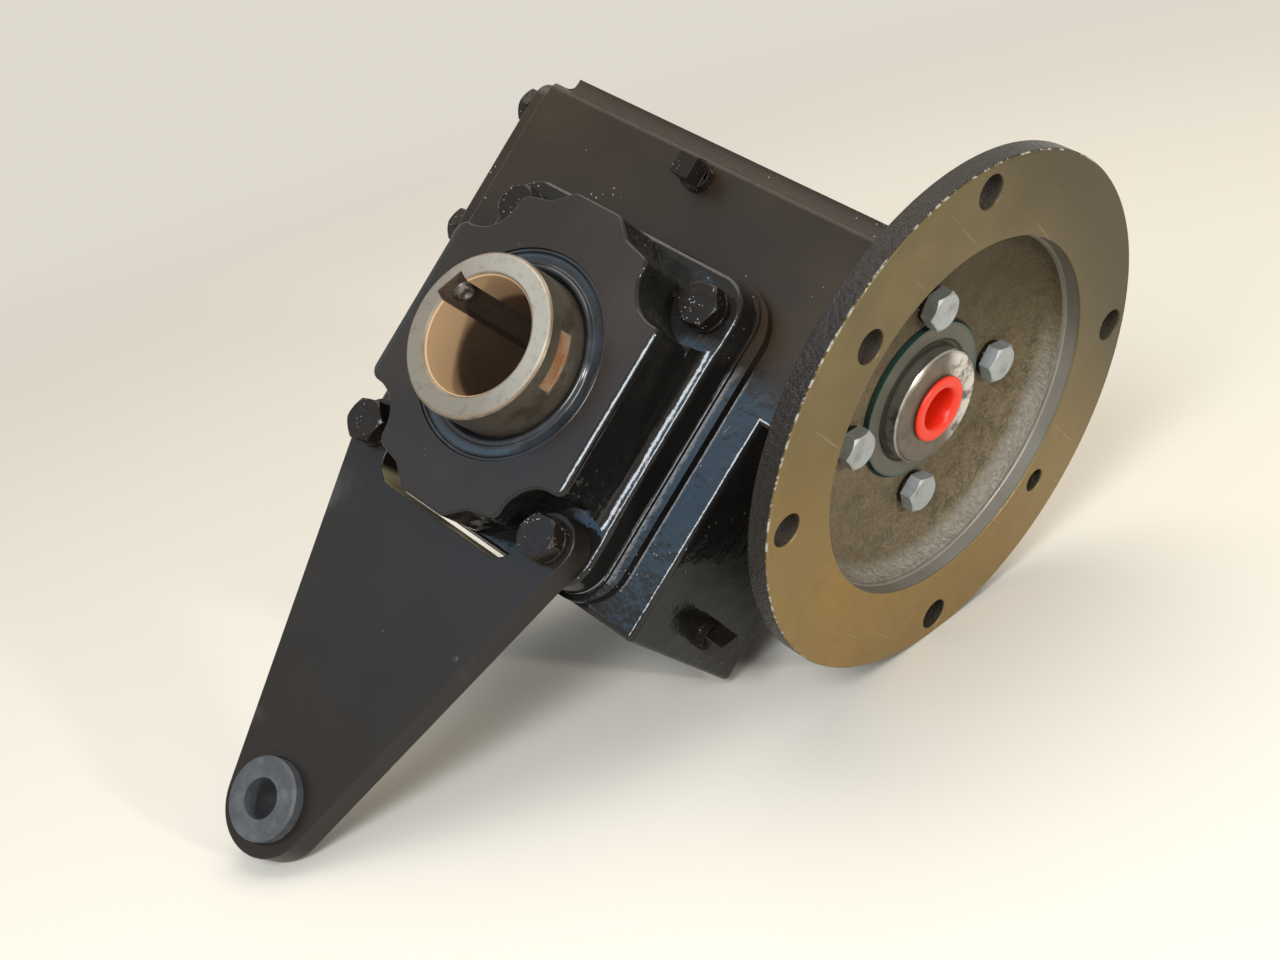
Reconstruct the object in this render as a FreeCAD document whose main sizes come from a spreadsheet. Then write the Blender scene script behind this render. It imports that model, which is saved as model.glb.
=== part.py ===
import FreeCAD
import Part
import Sketcher
import math
import os

from FreeCAD import Placement, Rotation, Vector

# Right-angle worm gear reducer with a hollow output shaft, a round motor flange and a torque arm.
# The origin is on the output axis, half way between the two output covers.
# X runs along the worm, out of the motor flange, Z points up from the output axis to the worm,
# and the torque arm hangs down on the front, which faces -Y.

DRIVING_SIZES = [
    # Worm and gear
    ("centre_distance", 50.8, "output axis to worm axis, 2 in"),
    ("worm_starts", 2, "threads on the worm"),
    ("gear_teeth", 40, "teeth on the worm gear"),
    ("worm_pitch_radius", 12.7, "pitch radius of the worm"),
    ("tooth_depth_ratio", 2.1, "whole tooth depth in modules"),
    ("tooth_play", 0.2, "play cut from each tooth flank"),
    ("pressure_angle", 20, "flank angle of the worm thread"),
    ("worm_pitches", 9, "axial pitches along the threaded stretch"),
    ("gear_width", 20, "face width of the worm gear"),
    # Output shaft
    ("output_radius", 25.4, "outside radius of the hollow shaft, 2 in across"),
    ("bore_radius", 18.25625, "bore radius of the hollow shaft, 1-7/16 in across"),
    ("output_reach", 82.2, "mid-plane to each end of the hollow shaft"),
    ("gear_seat_radius", 26.2, "radius under the worm gear"),
    ("keyway_width", 9.525, "keyway in the bore, 3/8 in"),
    ("keyway_floor", 21.6, "output axis to the floor of the keyway"),
    ("keyway_angle", 154.8, "direction of the keyway, from +X towards +Z"),
    ("gear_key_angle", -60, "direction of the key under the gear"),
    ("gear_key_side", 9.525, "side of the square key under the gear"),
    ("side_slot_angle", 12, "direction of the slot in the shaft's side"),
    ("side_slot_near", 71.2, "mid-plane to the near side of the slot"),
    ("side_slot_width", 5.8, "width of the slot in the shaft's side"),
    ("side_slot_floor", 23.3, "output axis to the floor of the slot"),
    ("set_screw_radius", 3.96875, "set screw radius, 5/16 in across"),
    ("set_screw_inset", 8.0, "end of the hollow shaft to a set screw"),
    ("set_screw_tip", 20.9, "output axis to the point of a set screw"),
    ("sleeve_radius", 29.5, "outside radius of the sleeves beside the gear"),
    # Output bearings
    ("cone_start", 28.0, "mid-plane to the inner face of the cone"),
    ("cone_end", 44.6, "mid-plane to the outer face of the cone"),
    ("cup_start", 31.0, "mid-plane to the inner face of the cup"),
    ("cup_end", 45.5, "mid-plane to the outer face of the cup"),
    ("cup_radius", 38.1, "outside radius of the cup, 3 in across"),
    ("roller_middle", 37.5, "mid-plane to the middle of a roller"),
    ("roller_pitch_radius", 32.0, "output axis to the middle of a roller"),
    ("roller_slope", 12, "angle between a roller and the output axis"),
    ("roller_taper", 1.05, "half angle of a roller"),
    ("roller_length", 12.0, "length of a roller"),
    ("roller_count", 20, "rollers in a bearing"),
    ("rolling_play", 0.05, "play round a roller or a ball"),
    # Covers
    ("cover_half_width", 50.0, "half of the cover flange along X"),
    ("cover_half_height", 52.3, "half of the cover flange along Z"),
    ("cover_corner", 12.0, "corner radius of the cover flange"),
    ("cover_seat", 36.2, "mid-plane to the cover's joint face"),
    ("ear_face", 45.0, "mid-plane to the face of the cover's ears"),
    ("boss_face", 65.6, "mid-plane to the cover's front face"),
    ("boss_half_width", 43.5, "half of the boss along X"),
    ("boss_half_height", 51.0, "half of the boss along Z"),
    ("boss_flat_half", 9.3, "half of the flat at the top and bottom of the boss"),
    ("boss_waist_x", 16.3, "where the boss narrows to its top flat, along X"),
    ("boss_waist_z", 45.4, "where the boss narrows to its top flat, along Z"),
    ("boss_scallop", 12.6, "radius of the scallop round a cover bolt"),
    ("boss_root", 4.2, "root fillet along the straight sides of the boss"),
    ("boss_rounding", 3.8, "corner radius of the boss outline"),
    ("boss_edge", 1.0, "rounding of the boss's front edge"),
    ("flange_edge", 1.6, "rounding of the cover flange's front edge"),
    ("gasket_thickness", 0.8, "thickness of every gasket"),
    ("spigot_radius", 43.9, "radius of the cover's spigot"),
    ("spigot_end", 30.2, "mid-plane to the end of the spigot"),
    ("cover_passage_radius", 29.0, "radius of the passage between bearing and seal"),
    ("seal_radius", 33.1, "outside radius of the output seal"),
    ("seal_seat", 57.6, "mid-plane to the seal's shoulder"),
    ("seal_face", 65.3, "mid-plane to the seal's face"),
    ("seal_play", 0.06, "play between a seal lip and its shaft"),
    ("cover_bolt_x", 39.5, "cover bolt to output axis along X"),
    ("cover_bolt_z", 40.4, "cover bolt to output axis along Z"),
    # Bolts, 5/16 in
    ("bolt_radius", 3.96875, "shank radius"),
    ("bolt_hole_radius", 4.3, "radius of a hole that a bolt passes through"),
    ("bolt_flats", 12.7, "head across flats"),
    ("bolt_head_height", 5.3, "head height"),
    ("bolt_head_bevel", 0.75, "height of the bevel round the top of a head"),
    ("small_bolt_radius", 3.175, "shank radius of the motor flange and end cover bolts, 1/4 in"),
    ("small_hole_radius", 3.5, "radius of a hole that a small bolt passes through"),
    ("small_bolt_flats", 11.1125, "head across flats of a small bolt, 7/16 in"),
    ("small_head_height", 4.4, "head height of a small bolt"),
    ("small_washer_radius", 5.7, "outside radius of a small lock washer"),
    ("small_washer_thickness", 1.6, "thickness of a small lock washer"),
    ("lock_washer_radius", 7.1, "outside radius of a lock washer"),
    ("lock_washer_thickness", 2.0, "thickness of a lock washer"),
    ("short_bolt_length", 22.225, "cover bolt under the head, 7/8 in"),
    ("arm_bolt_length", 31.75, "torque arm bolt under the head, 1-1/4 in"),
    ("flange_bolt_length", 25.4, "motor flange bolt under the head, 1 in"),
    ("end_bolt_length", 19.05, "end cover bolt under the head, 3/4 in"),
    # Housing
    ("case_half_width", 66.0, "half of the gear case along X"),
    ("case_half_depth", 31.0, "half of the gear case along Y"),
    ("case_bottom", 54.0, "output axis down to the bottom of the gear case"),
    ("block_end", 78.0, "output axis to the motor end of the worm block"),
    ("block_far", 71.0, "output axis to the far end of the worm block"),
    ("block_half_height", 31.2, "worm axis down to the bottom of the worm block"),
    ("block_shoulder", 30.2, "worm axis up to where the block's sides start to lean in"),
    ("block_rise", 32.6, "worm axis up to the top of the worm block"),
    ("block_top_rounding", 2.0, "rounding of the upper edges of the worm block"),
    ("pad_top", 87.7, "output axis up to the top pad"),
    ("pad_foot", 35.2, "worm axis up to where the pad's sides stand upright"),
    ("pad_far_inset", 8.4, "far end of the worm block to the top pad"),
    ("pad_motor_inset", 6.0, "motor end of the worm block to the top pad"),
    ("pad_end_fillet", 3.4, "fillet at the far end of the top pad"),
    ("pad_side_inset", 1.0, "side of the worm block to the side of the top pad"),
    ("pad_hole_radius", 4.0, "tapped hole in the top pad"),
    ("pad_hole_depth", 9.5, "depth of a tapped hole in the top pad"),
    ("pad_hole_x", 44.0, "tapped hole in the top pad to output axis"),
    ("pad_hole_y", 20.0, "tapped hole in the top pad to mid-plane"),
    ("flange_face", 35.4, "mid-plane to the housing's joint face"),
    ("flange_root_growth", 3.6, "how far the housing flange spreads at its root"),
    ("opening_radius", 44.0, "radius of the output opening"),
    ("chamber_half_depth", 22.0, "half of the inner chamber along Y"),
    ("chamber_half_width", 57.0, "half of the inner chamber along X"),
    ("chamber_bottom", 46.0, "output axis down to the chamber floor"),
    ("chamber_top", 76.0, "output axis up to the chamber roof"),
    ("chamber_end", 47.0, "output axis to the chamber's far end"),
    ("cast_rounding", 1.8, "rounding of the cast outer edges"),
    # Worm bearings
    ("end_bearing_bore", 10.0, "bore radius of the end bearing"),
    ("end_bearing_radius", 23.5, "outside radius of the end bearing"),
    ("end_bearing_width", 14.0, "width of the end bearing"),
    ("end_ball_radius", 3.96875, "ball radius, 5/16 in across"),
    ("end_ball_count", 8, "balls in the end bearing"),
    ("end_spigot_length", 1.2, "spigot of the end cover"),
    ("input_bearing_bore", 17.5, "bore radius of the input bearing"),
    ("input_bearing_radius", 26.0, "outside radius of the input bearing"),
    ("input_bearing_width", 10.0, "width of the input bearing"),
    ("input_ball_radius", 2.38125, "ball radius, 3/16 in across"),
    ("input_ball_count", 12, "balls in the input bearing"),
    ("race_ratio", 0.62, "how far a race reaches up a ball, in ball radii"),
    # Motor flange
    ("flange_radius", 82.55, "outside radius, 6.5 in across"),
    ("motor_face", 104.3, "output axis to the motor face"),
    ("rim_thickness", 7.2, "thickness of the rim"),
    ("pilot_radius", 57.15, "radius of the pilot recess, 4.5 in across"),
    ("pilot_depth", 5.0, "depth of the pilot recess"),
    ("dish_floor", 88.9, "output axis to the floor of the dish"),
    ("dish_floor_radius", 38.3, "radius of the floor of the dish"),
    ("hub_radius", 40.0, "radius of the hub on the worm block"),
    ("motor_bolt_circle", 149.225, "bolt circle, 5-7/8 in across"),
    ("motor_hole_radius", 5.2, "radius of a motor bolt hole"),
    ("side_hole_reach", 64.9, "flange centre to a side hole"),
    ("small_side_hole_radius", 4.0, "radius of the side hole at the back"),
    ("flange_bolt_offset", 23.0, "flange bolt to worm axis along Y and Z"),
    ("input_seal_radius", 25.0, "outside radius of the input seal"),
    ("input_seal_start", 82.5, "output axis to the seal's shoulder"),
    ("input_seal_end", 90.3, "output axis to the seal's face"),
    # Worm shaft
    ("quill_radius", 18.3, "radius of the worm shaft at the seal"),
    ("quill_end", 95.5, "output axis to the end of the worm shaft"),
    ("quill_bore_radius", 7.9375, "motor bore radius, 5/8 in across"),
    ("quill_bore_depth", 53.0, "depth of the motor bore"),
    ("quill_key_width", 4.7625, "keyway in the motor bore, 3/16 in"),
    ("quill_key_floor", 10.1, "worm axis to the floor of the keyway"),
    ("plug_rim_radius", 10.6, "rim radius of the bore plug"),
    ("plug_rim_thickness", 1.6, "thickness of the rim of the bore plug"),
    ("plug_depth", 15.0, "how far the bore plug goes in"),
    ("plug_wall", 1.9, "wall of the bore plug"),
    # End cover
    ("end_cover_thickness", 4.4, "thickness of the end cover"),
    ("end_cover_half_height", 32.0, "half of the end cover along Z"),
    ("end_cover_corner", 6.0, "corner radius of the end cover"),
    ("end_cover_edge", 1.0, "rounding of the end cover's outer edge"),
    # Torque arm
    ("arm_thickness", 9.525, "plate thickness, 3/8 in"),
    ("arm_length", 152.4, "output axis to the bush, 6 in"),
    ("arm_end_radius", 17.5, "radius of the arm's end"),
    ("arm_ear_radius", 8.8, "radius of the arm's ears"),
    ("arm_notch_floor", 53.6, "output axis down to the notch's floor"),
    ("arm_notch_corner", 8.0, "corner radius of the notch"),
    ("bush_radius", 13.0, "outside radius of the bush"),
    ("bush_bore_radius", 6.35, "bore radius of the bush, 1/2 in across"),
    ("bush_overhang", 4.0, "how far the bush stands out on each side"),
    # Pipe plugs, 1/4 in
    ("pipe_plug_radius", 5.15, "thread radius, 1/8 in pipe thread"),
    ("pipe_plug_collar", 3.5, "thread that stands out of the wall"),
    ("pipe_plug_square", 7.14375, "square head, 9/32 in"),
    ("pipe_plug_head", 7.0, "height of the square head"),
    ("level_plug_x", 0.8, "front and rear plug to output axis along X"),
    ("level_plug_z", 76.0, "front and rear plug above the output axis"),
    ("drain_plug_y", 3.2, "side plugs behind the mid-plane"),
    ("drain_plug_z", 42.4, "side plugs below the output axis"),
]

doc = FreeCAD.newDocument("gear_speed_reducer")
sheet = doc.addObject("Spreadsheet::Sheet", "Sizes")
for row, (alias, number, note) in enumerate(DRIVING_SIZES, start=1):
    sheet.set("A%d" % row, alias)
    sheet.set("B%d" % row, str(number))
    sheet.setAlias("B%d" % row, alias)
    sheet.set("C%d" % row, note)
doc.recompute()


class Size:
    """A length or number of the sheet, kept as its value and as the expression that a property is bound to."""

    def __init__(self, value, text):
        self.value = float(value)
        self.text = text

    def __add__(self, other):
        other = as_size(other)
        return Size(self.value + other.value, "(%s + %s)" % (self.text, other.text))

    def __sub__(self, other):
        other = as_size(other)
        return Size(self.value - other.value, "(%s - %s)" % (self.text, other.text))

    def __rsub__(self, other):
        return as_size(other) - self

    def __mul__(self, other):
        other = as_size(other)
        return Size(self.value * other.value, "(%s * %s)" % (self.text, other.text))

    def __truediv__(self, other):
        other = as_size(other)
        return Size(self.value / other.value, "(%s / %s)" % (self.text, other.text))

    def __neg__(self):
        return Size(-self.value, "(0 - %s)" % self.text)

    __radd__ = __add__
    __rmul__ = __mul__


def as_size(number):
    return number if isinstance(number, Size) else Size(number, repr(float(number)))


def cosine(angle):
    return Size(math.cos(math.radians(angle.value)), "cos(%s)" % angle.text)


def sine(angle):
    return Size(math.sin(math.radians(angle.value)), "sin(%s)" % angle.text)


def tangent(angle):
    return sine(angle) / cosine(angle)


class Sizes:
    """Every driving size of the sheet, by its name."""


size = Sizes()
for alias, number, note in DRIVING_SIZES:
    setattr(size, alias, Size(sheet.get(alias), "Sizes." + alias))

NOTHING = as_size(0)
OVERCUT = as_size(2)

# Turns from a piece's own frame, where it is built along +Z, to where it points in the reducer
UPRIGHT = Rotation()
TO_FRONT = Rotation(Vector(1, 0, 0), 90)
TO_REAR = Rotation(Vector(0, 0, 1), 180) * TO_FRONT
TO_MOTOR = Rotation(Vector(0, 1, 0), 90)
TO_FAR_END = Rotation(Vector(0, 0, 1), 180) * TO_MOTOR

subparts = []
helper_count = 0


def helper_name(kind):
    global helper_count
    helper_count += 1
    return "%s_%d" % (kind, helper_count)


def bind(thing, name, amount):
    thing.setExpression(name, as_size(amount).text)


def place(thing, turn=UPRIGHT, x=NOTHING, y=NOTHING, z=NOTHING):
    spot = Vector(as_size(x).value, as_size(y).value, as_size(z).value)
    thing.Placement = Placement(spot, turn)
    bind(thing, "Placement.Base.x", x)
    bind(thing, "Placement.Base.y", y)
    bind(thing, "Placement.Base.z", z)
    return thing


def cylinder(radius, height, turn=UPRIGHT, x=NOTHING, y=NOTHING, z=NOTHING):
    thing = doc.addObject("Part::Cylinder", helper_name("cylinder"))
    bind(thing, "Radius", radius)
    bind(thing, "Height", height)
    return place(thing, turn, x, y, z)


def box(length, width, height, x, y, z, turn=UPRIGHT):
    thing = doc.addObject("Part::Box", helper_name("box"))
    bind(thing, "Length", length)
    bind(thing, "Width", width)
    bind(thing, "Height", height)
    return place(thing, turn, x, y, z)


def hexagon(across_flats, height, turn, x, y, z):
    thing = doc.addObject("Part::Prism", helper_name("hexagon"))
    thing.Polygon = 6
    bind(thing, "Circumradius", across_flats / math.sqrt(3))
    bind(thing, "Height", height)
    return place(thing, turn, x, y, z)


def fuse(pieces):
    thing = doc.addObject("Part::MultiFuse", helper_name("fuse"))
    thing.Shapes = pieces
    return thing


def cut(base, tool):
    thing = doc.addObject("Part::Cut", helper_name("cut"))
    thing.Base = base
    thing.Tool = tool
    return thing


def common(base, tool):
    thing = doc.addObject("Part::MultiCommon", helper_name("common"))
    thing.Shapes = [base, tool]
    return thing


def group(pieces):
    thing = doc.addObject("Part::Compound", helper_name("group"))
    thing.Links = pieces
    return thing


def subpart(name, thing):
    thing.Label = name
    subparts.append(thing)
    return thing


def origin_feature(body, role):
    for feature in body.Origin.OriginFeatures:
        if feature.Role == role:
            return feature
    raise ValueError(role)


def polygon_sketch(body, plane, corners, offset=NOTHING):
    """A closed outline whose corners are each tied to the sheet, on one of the body's own planes."""
    sketch = body.newObject("Sketcher::SketchObject", helper_name("outline"))
    sketch.AttachmentSupport = [(origin_feature(body, plane), "")]
    sketch.MapMode = "FlatFace"
    sketch.setExpression("AttachmentOffset.Base.z", as_size(offset).text)
    points = [Vector(as_size(a).value, as_size(b).value, 0) for a, b in corners]
    count = len(points)
    for i in range(count):
        sketch.addGeometry(Part.LineSegment(points[i], points[(i + 1) % count]), False)
    for i in range(count):
        sketch.addConstraint(Sketcher.Constraint("Coincident", i, 2, (i + 1) % count, 1))
    for i, (across, up) in enumerate(corners):
        for kind, amount in (("DistanceX", across), ("DistanceY", up)):
            amount = as_size(amount)
            if amount.text == NOTHING.text:
                fixed = "Vertical" if kind == "DistanceX" else "Horizontal"
                sketch.addConstraint(Sketcher.Constraint(fixed, -1, 1, i, 1))
            else:
                number = sketch.addConstraint(Sketcher.Constraint(kind, -1, 1, i, 1, amount.value))
                sketch.setExpression("Constraints[%d]" % number, amount.text)
    return sketch


def turned(corners):
    """A body turned about its own Z axis from corners of (radius, height)."""
    body = doc.addObject("PartDesign::Body", helper_name("turned"))
    sketch = polygon_sketch(body, "XZ_Plane", corners)
    revolution = body.newObject("PartDesign::Revolution", helper_name("revolution"))
    revolution.Profile = sketch
    revolution.ReferenceAxis = (sketch, ["V_Axis"])
    revolution.Angle = 360
    sketch.Visibility = False
    return body


def padded(corners, start, height, taper=None):
    """A body whose outline of (x, y) corners is padded upwards from a height."""
    body = doc.addObject("PartDesign::Body", helper_name("padded"))
    sketch = polygon_sketch(body, "XY_Plane", corners, start)
    pad = body.newObject("PartDesign::Pad", helper_name("pad"))
    pad.Profile = sketch
    bind(pad, "Length", height)
    if taper is not None:
        bind(pad, "TaperAngle", taper)
    return body


def round_upright_edges(body, radius, side=0):
    """Rounds the edges of a padded body that run up its height, or those on one side of its YZ plane."""
    doc.recompute()
    names = []
    for number, edge in enumerate(body.Shape.Edges, start=1):
        low, high = edge.Vertexes[0].Point, edge.Vertexes[-1].Point
        upright = abs(low.x - high.x) < 1e-6 and abs(low.y - high.y) < 1e-6
        if upright and low.x * side >= 0:
            names.append("Edge%d" % number)
    fillet = body.newObject("PartDesign::Fillet", helper_name("rounding"))
    fillet.Base = (body.Group[-2], names)
    bind(fillet, "Radius", radius)
    body.Tip = fillet
    return body


def round_level_edges(body, radius, height, inside=None):
    """Rounds the edges of a body that lie at one height, or those of them within a half width."""
    doc.recompute()
    names = []
    for number, edge in enumerate(body.Shape.Edges, start=1):
        level = all(abs(corner.Point.z - height.value) < 1e-6 for corner in edge.Vertexes)
        near = inside is None or max(abs(corner.Point.x) for corner in edge.Vertexes) < inside.value
        if level and near:
            names.append("Edge%d" % number)
    fillet = body.newObject("PartDesign::Fillet", helper_name("rounding"))
    fillet.Base = (body.Group[-2], names)
    bind(fillet, "Radius", radius)
    body.Tip = fillet
    return body


def pocket_circles(body, centres, radius, height):
    """Round pockets through a padded body, cut downwards from its top at a height."""
    sketch = body.newObject("Sketcher::SketchObject", helper_name("circles"))
    sketch.AttachmentSupport = [(origin_feature(body, "XY_Plane"), "")]
    sketch.MapMode = "FlatFace"
    sketch.setExpression("AttachmentOffset.Base.z", as_size(height).text)
    for number, (across, up) in enumerate(centres):
        middle = Vector(across.value, up.value, 0)
        sketch.addGeometry(Part.Circle(middle, Vector(0, 0, 1), radius.value), False)
        for constraint, amount in (
            (Sketcher.Constraint("DistanceX", -1, 1, number, 3, across.value), across),
            (Sketcher.Constraint("DistanceY", -1, 1, number, 3, up.value), up),
            (Sketcher.Constraint("Radius", number, radius.value), radius),
        ):
            index = sketch.addConstraint(constraint)
            sketch.setExpression("Constraints[%d]" % index, amount.text)
    pocket = body.newObject("PartDesign::Pocket", helper_name("pocket"))
    pocket.Profile = sketch
    pocket.Type = "ThroughAll"
    sketch.Visibility = False
    return body


def rectangle(half_width, half_height):
    return [
        (-half_width, -half_height),
        (half_width, -half_height),
        (half_width, half_height),
        (-half_width, half_height),
    ]


def corner_signs():
    return [(1, 1), (-1, 1), (-1, -1), (1, -1)]


# Sizes that follow from the driving ones
gear_pitch_radius = size.centre_distance - size.worm_pitch_radius
module = gear_pitch_radius * 2 / size.gear_teeth
worm_tip_radius = size.worm_pitch_radius + module
worm_root_radius = size.worm_pitch_radius - module * (size.tooth_depth_ratio - 1)
gear_tip_radius = gear_pitch_radius + module
block_bottom = size.centre_distance - size.block_half_height
block_top = size.centre_distance + size.block_rise
pad_far = size.block_far - size.pad_far_inset
pad_half_depth = size.case_half_depth - size.pad_side_inset
pad_motor = size.block_end - size.pad_motor_inset
set_screw_reach = size.output_reach - size.set_screw_inset
arm_back = size.ear_face
arm_front = size.ear_face + size.arm_thickness
apex = size.roller_middle + size.roller_pitch_radius / tangent(size.roller_slope)
cone_slope = size.roller_slope - size.roller_taper
cup_slope = size.roller_slope + size.roller_taper
end_bearing_start = size.block_far - size.end_bearing_width - size.end_spigot_length
hub_back = size.block_end + size.gasket_thickness
end_cover_back = size.block_far + size.gasket_thickness


def cone_race(height):
    return (apex - height) * tangent(cone_slope)


def cup_race(height):
    return (apex - height) * tangent(cup_slope)


# Housing


def housing_flanges():
    """The flat joint flanges round the two output openings, with roots that spread into the case."""
    bodies = []
    for turn in (TO_FRONT, TO_REAR):
        face = round_upright_edges(
            padded(
                rectangle(size.cover_half_width + 0.6, size.cover_half_height + 0.6),
                NOTHING,
                size.flange_face,
            ),
            size.cover_corner,
        )
        bodies.append(place(face, turn))
        root_height = size.flange_face - size.case_half_depth - 1.2
        root = round_upright_edges(
            padded(
                rectangle(
                    size.cover_half_width + size.flange_root_growth + 0.6,
                    size.case_bottom - 0.2,
                ),
                size.case_half_depth - 1,
                root_height + 1,
            ),
            size.cover_corner + size.flange_root_growth,
        )
        bodies.append(place(root, turn))
    return bodies


def block_lean(rise):
    """Half of the worm block along Y at a height above the worm axis, where its sides lean in."""
    lean = size.pad_side_inset / (size.pad_foot - size.block_shoulder)
    return size.case_half_depth - lean * (rise - size.block_shoulder)


def mirrored(side):
    """An outline from the corners on its +Y side."""
    return side + [(across, -up) for across, up in reversed(side)]


def housing_outside():
    block = padded(
        mirrored(
            [
                (size.block_half_height, size.case_half_depth),
                (-size.block_shoulder, size.case_half_depth),
                (-size.block_rise, block_lean(size.block_rise)),
            ]
        ),
        -size.block_far,
        size.block_far + size.block_end,
    )
    round_upright_edges(block, size.cast_rounding, 1)
    round_upright_edges(block, size.block_top_rounding, -1)
    place(block, TO_MOTOR, z=size.centre_distance)
    case = round_upright_edges(
        padded(
            rectangle(size.case_half_width, size.case_half_depth),
            -size.case_bottom,
            size.case_bottom + block_bottom + size.cast_rounding * 2,
        ),
        size.cast_rounding,
    )
    round_level_edges(case, size.cast_rounding, -size.case_bottom)
    pad_rise = size.pad_top - size.centre_distance
    pad = padded(
        mirrored(
            [
                (1 - size.block_rise, block_lean(size.block_rise - 1)),
                (-size.pad_foot, pad_half_depth),
                (-pad_rise, pad_half_depth),
            ]
        ),
        -pad_far,
        pad_far + pad_motor,
    )
    place(pad, TO_MOTOR, z=size.centre_distance)
    return fuse([block, case, pad, pad_end_fillet()] + housing_flanges())


def pad_end_fillet():
    """The hollow fillet between the block's top and the far end of the pad."""
    radius = size.pad_end_fillet
    width = pad_half_depth * 2 - 1
    wedge = box(radius + 1, width, radius + 1, -pad_far - radius, -width / 2, block_top - 1)
    round_tool = cylinder(radius, width + 2, TO_REAR, -pad_far - radius, -width / 2 - 1, block_top + radius)
    return cut(wedge, round_tool)


def housing_hollows():
    """The two chambers, the bearing bores and every threaded hole."""
    tools = []
    tools.append(
        cylinder(
            size.opening_radius,
            size.flange_face * 2 + OVERCUT,
            TO_FRONT,
            y=size.flange_face + OVERCUT / 2,
        )
    )
    tools.append(
        box(
            size.chamber_half_width * 2,
            size.chamber_half_depth * 2,
            size.chamber_bottom + block_bottom,
            -size.chamber_half_width,
            -size.chamber_half_depth,
            -size.chamber_bottom,
        )
    )
    tools.append(
        box(
            size.chamber_end + size.chamber_half_width,
            size.chamber_half_depth * 2,
            size.chamber_top - block_bottom + 4,
            -size.chamber_end,
            -size.chamber_half_depth,
            block_bottom - 4,
        )
    )
    tools.append(
        cylinder(
            size.end_bearing_radius,
            size.end_bearing_width + size.end_spigot_length + OVERCUT,
            TO_FAR_END,
            x=-end_bearing_start,
            z=size.centre_distance,
        )
    )
    tools.append(
        cylinder(
            size.input_bearing_radius,
            size.input_bearing_width + 2 + OVERCUT,
            TO_MOTOR,
            x=size.block_end - size.input_bearing_width - 2,
            z=size.centre_distance,
        )
    )
    tools.append(
        cylinder(
            size.input_bearing_bore + 2.5,
            end_bearing_start + size.block_end - 4,
            TO_MOTOR,
            x=-end_bearing_start - 1,
            z=size.centre_distance,
        )
    )
    bolt_depth = size.flange_face - size.chamber_half_depth - 1.8
    for turn, sign in ((TO_FRONT, -1), (TO_REAR, 1)):
        for across, up in corner_signs():
            tools.append(
                cylinder(
                    size.bolt_radius,
                    bolt_depth + OVERCUT,
                    turn,
                    x=size.cover_bolt_x * across,
                    y=(size.flange_face - bolt_depth) * sign,
                    z=size.cover_bolt_z * up,
                )
            )
        tools.append(
            cylinder(
                size.pipe_plug_radius,
                size.case_half_depth,
                turn,
                x=size.level_plug_x,
                y=(size.chamber_half_depth - 1) * sign,
                z=size.level_plug_z,
            )
        )
    for across, up in corner_signs():
        tools.append(
            cylinder(
                size.small_bolt_radius,
                size.flange_bolt_length,
                TO_MOTOR,
                x=size.dish_floor - size.flange_bolt_length - 1,
                y=size.flange_bolt_offset * across,
                z=size.centre_distance + size.flange_bolt_offset * up,
            )
        )
        tools.append(
            cylinder(
                size.small_bolt_radius,
                size.end_bolt_length,
                TO_FAR_END,
                x=-(size.block_far + OVERCUT) + size.end_bolt_length,
                y=size.flange_bolt_offset * across,
                z=size.centre_distance + size.flange_bolt_offset * up,
            )
        )
        tools.append(
            cylinder(
                size.pad_hole_radius,
                size.pad_hole_depth + OVERCUT,
                x=size.pad_hole_x * across,
                y=size.pad_hole_y * up,
                z=size.pad_top - size.pad_hole_depth,
            )
        )
    for turn, sign in ((TO_MOTOR, 1), (TO_FAR_END, -1)):
        tools.append(
            cylinder(
                size.pipe_plug_radius,
                size.case_half_width,
                turn,
                x=(size.chamber_half_width - 1) * sign,
                y=size.drain_plug_y,
                z=-size.drain_plug_z,
            )
        )
    return fuse(tools)


subpart("housing", cut(housing_outside(), housing_hollows()))

# Output covers


def boss_outline():
    """The boss before its scallops are cut."""
    quarter = [
        (size.boss_half_width, size.cover_bolt_z),
        (size.cover_bolt_x, size.cover_bolt_z),
        (size.boss_waist_x, size.boss_waist_z),
        (size.boss_flat_half, size.boss_half_height),
    ]
    outline = list(quarter)
    outline += [(-a, b) for a, b in reversed(quarter)]
    outline += [(-a, -b) for a, b in quarter]
    outline += [(a, -b) for a, b in reversed(quarter)]
    return outline


def bolt_centres():
    return [(size.cover_bolt_x * across, size.cover_bolt_z * up) for across, up in corner_signs()]


def cover_blank():
    """The flange and the scalloped boss, which leaves room for a wrench at each cover bolt."""
    boss = padded(boss_outline(), size.cover_seat + 1, size.boss_face - size.cover_seat - 1)
    pocket_circles(boss, bolt_centres(), size.boss_scallop, size.boss_face)
    round_upright_edges(boss, size.boss_rounding)
    round_level_edges(boss, size.boss_edge, size.boss_face)
    flange = round_upright_edges(
        padded(
            rectangle(size.cover_half_width, size.cover_half_height),
            size.cover_seat,
            size.ear_face - size.cover_seat,
        ),
        size.cover_corner,
    )
    round_level_edges(flange, size.flange_edge, size.ear_face)
    spigot = cylinder(size.spigot_radius, size.cover_seat - size.spigot_end + 1, z=size.spigot_end)
    return fuse([flange, boss, spigot] + boss_roots())


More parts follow.
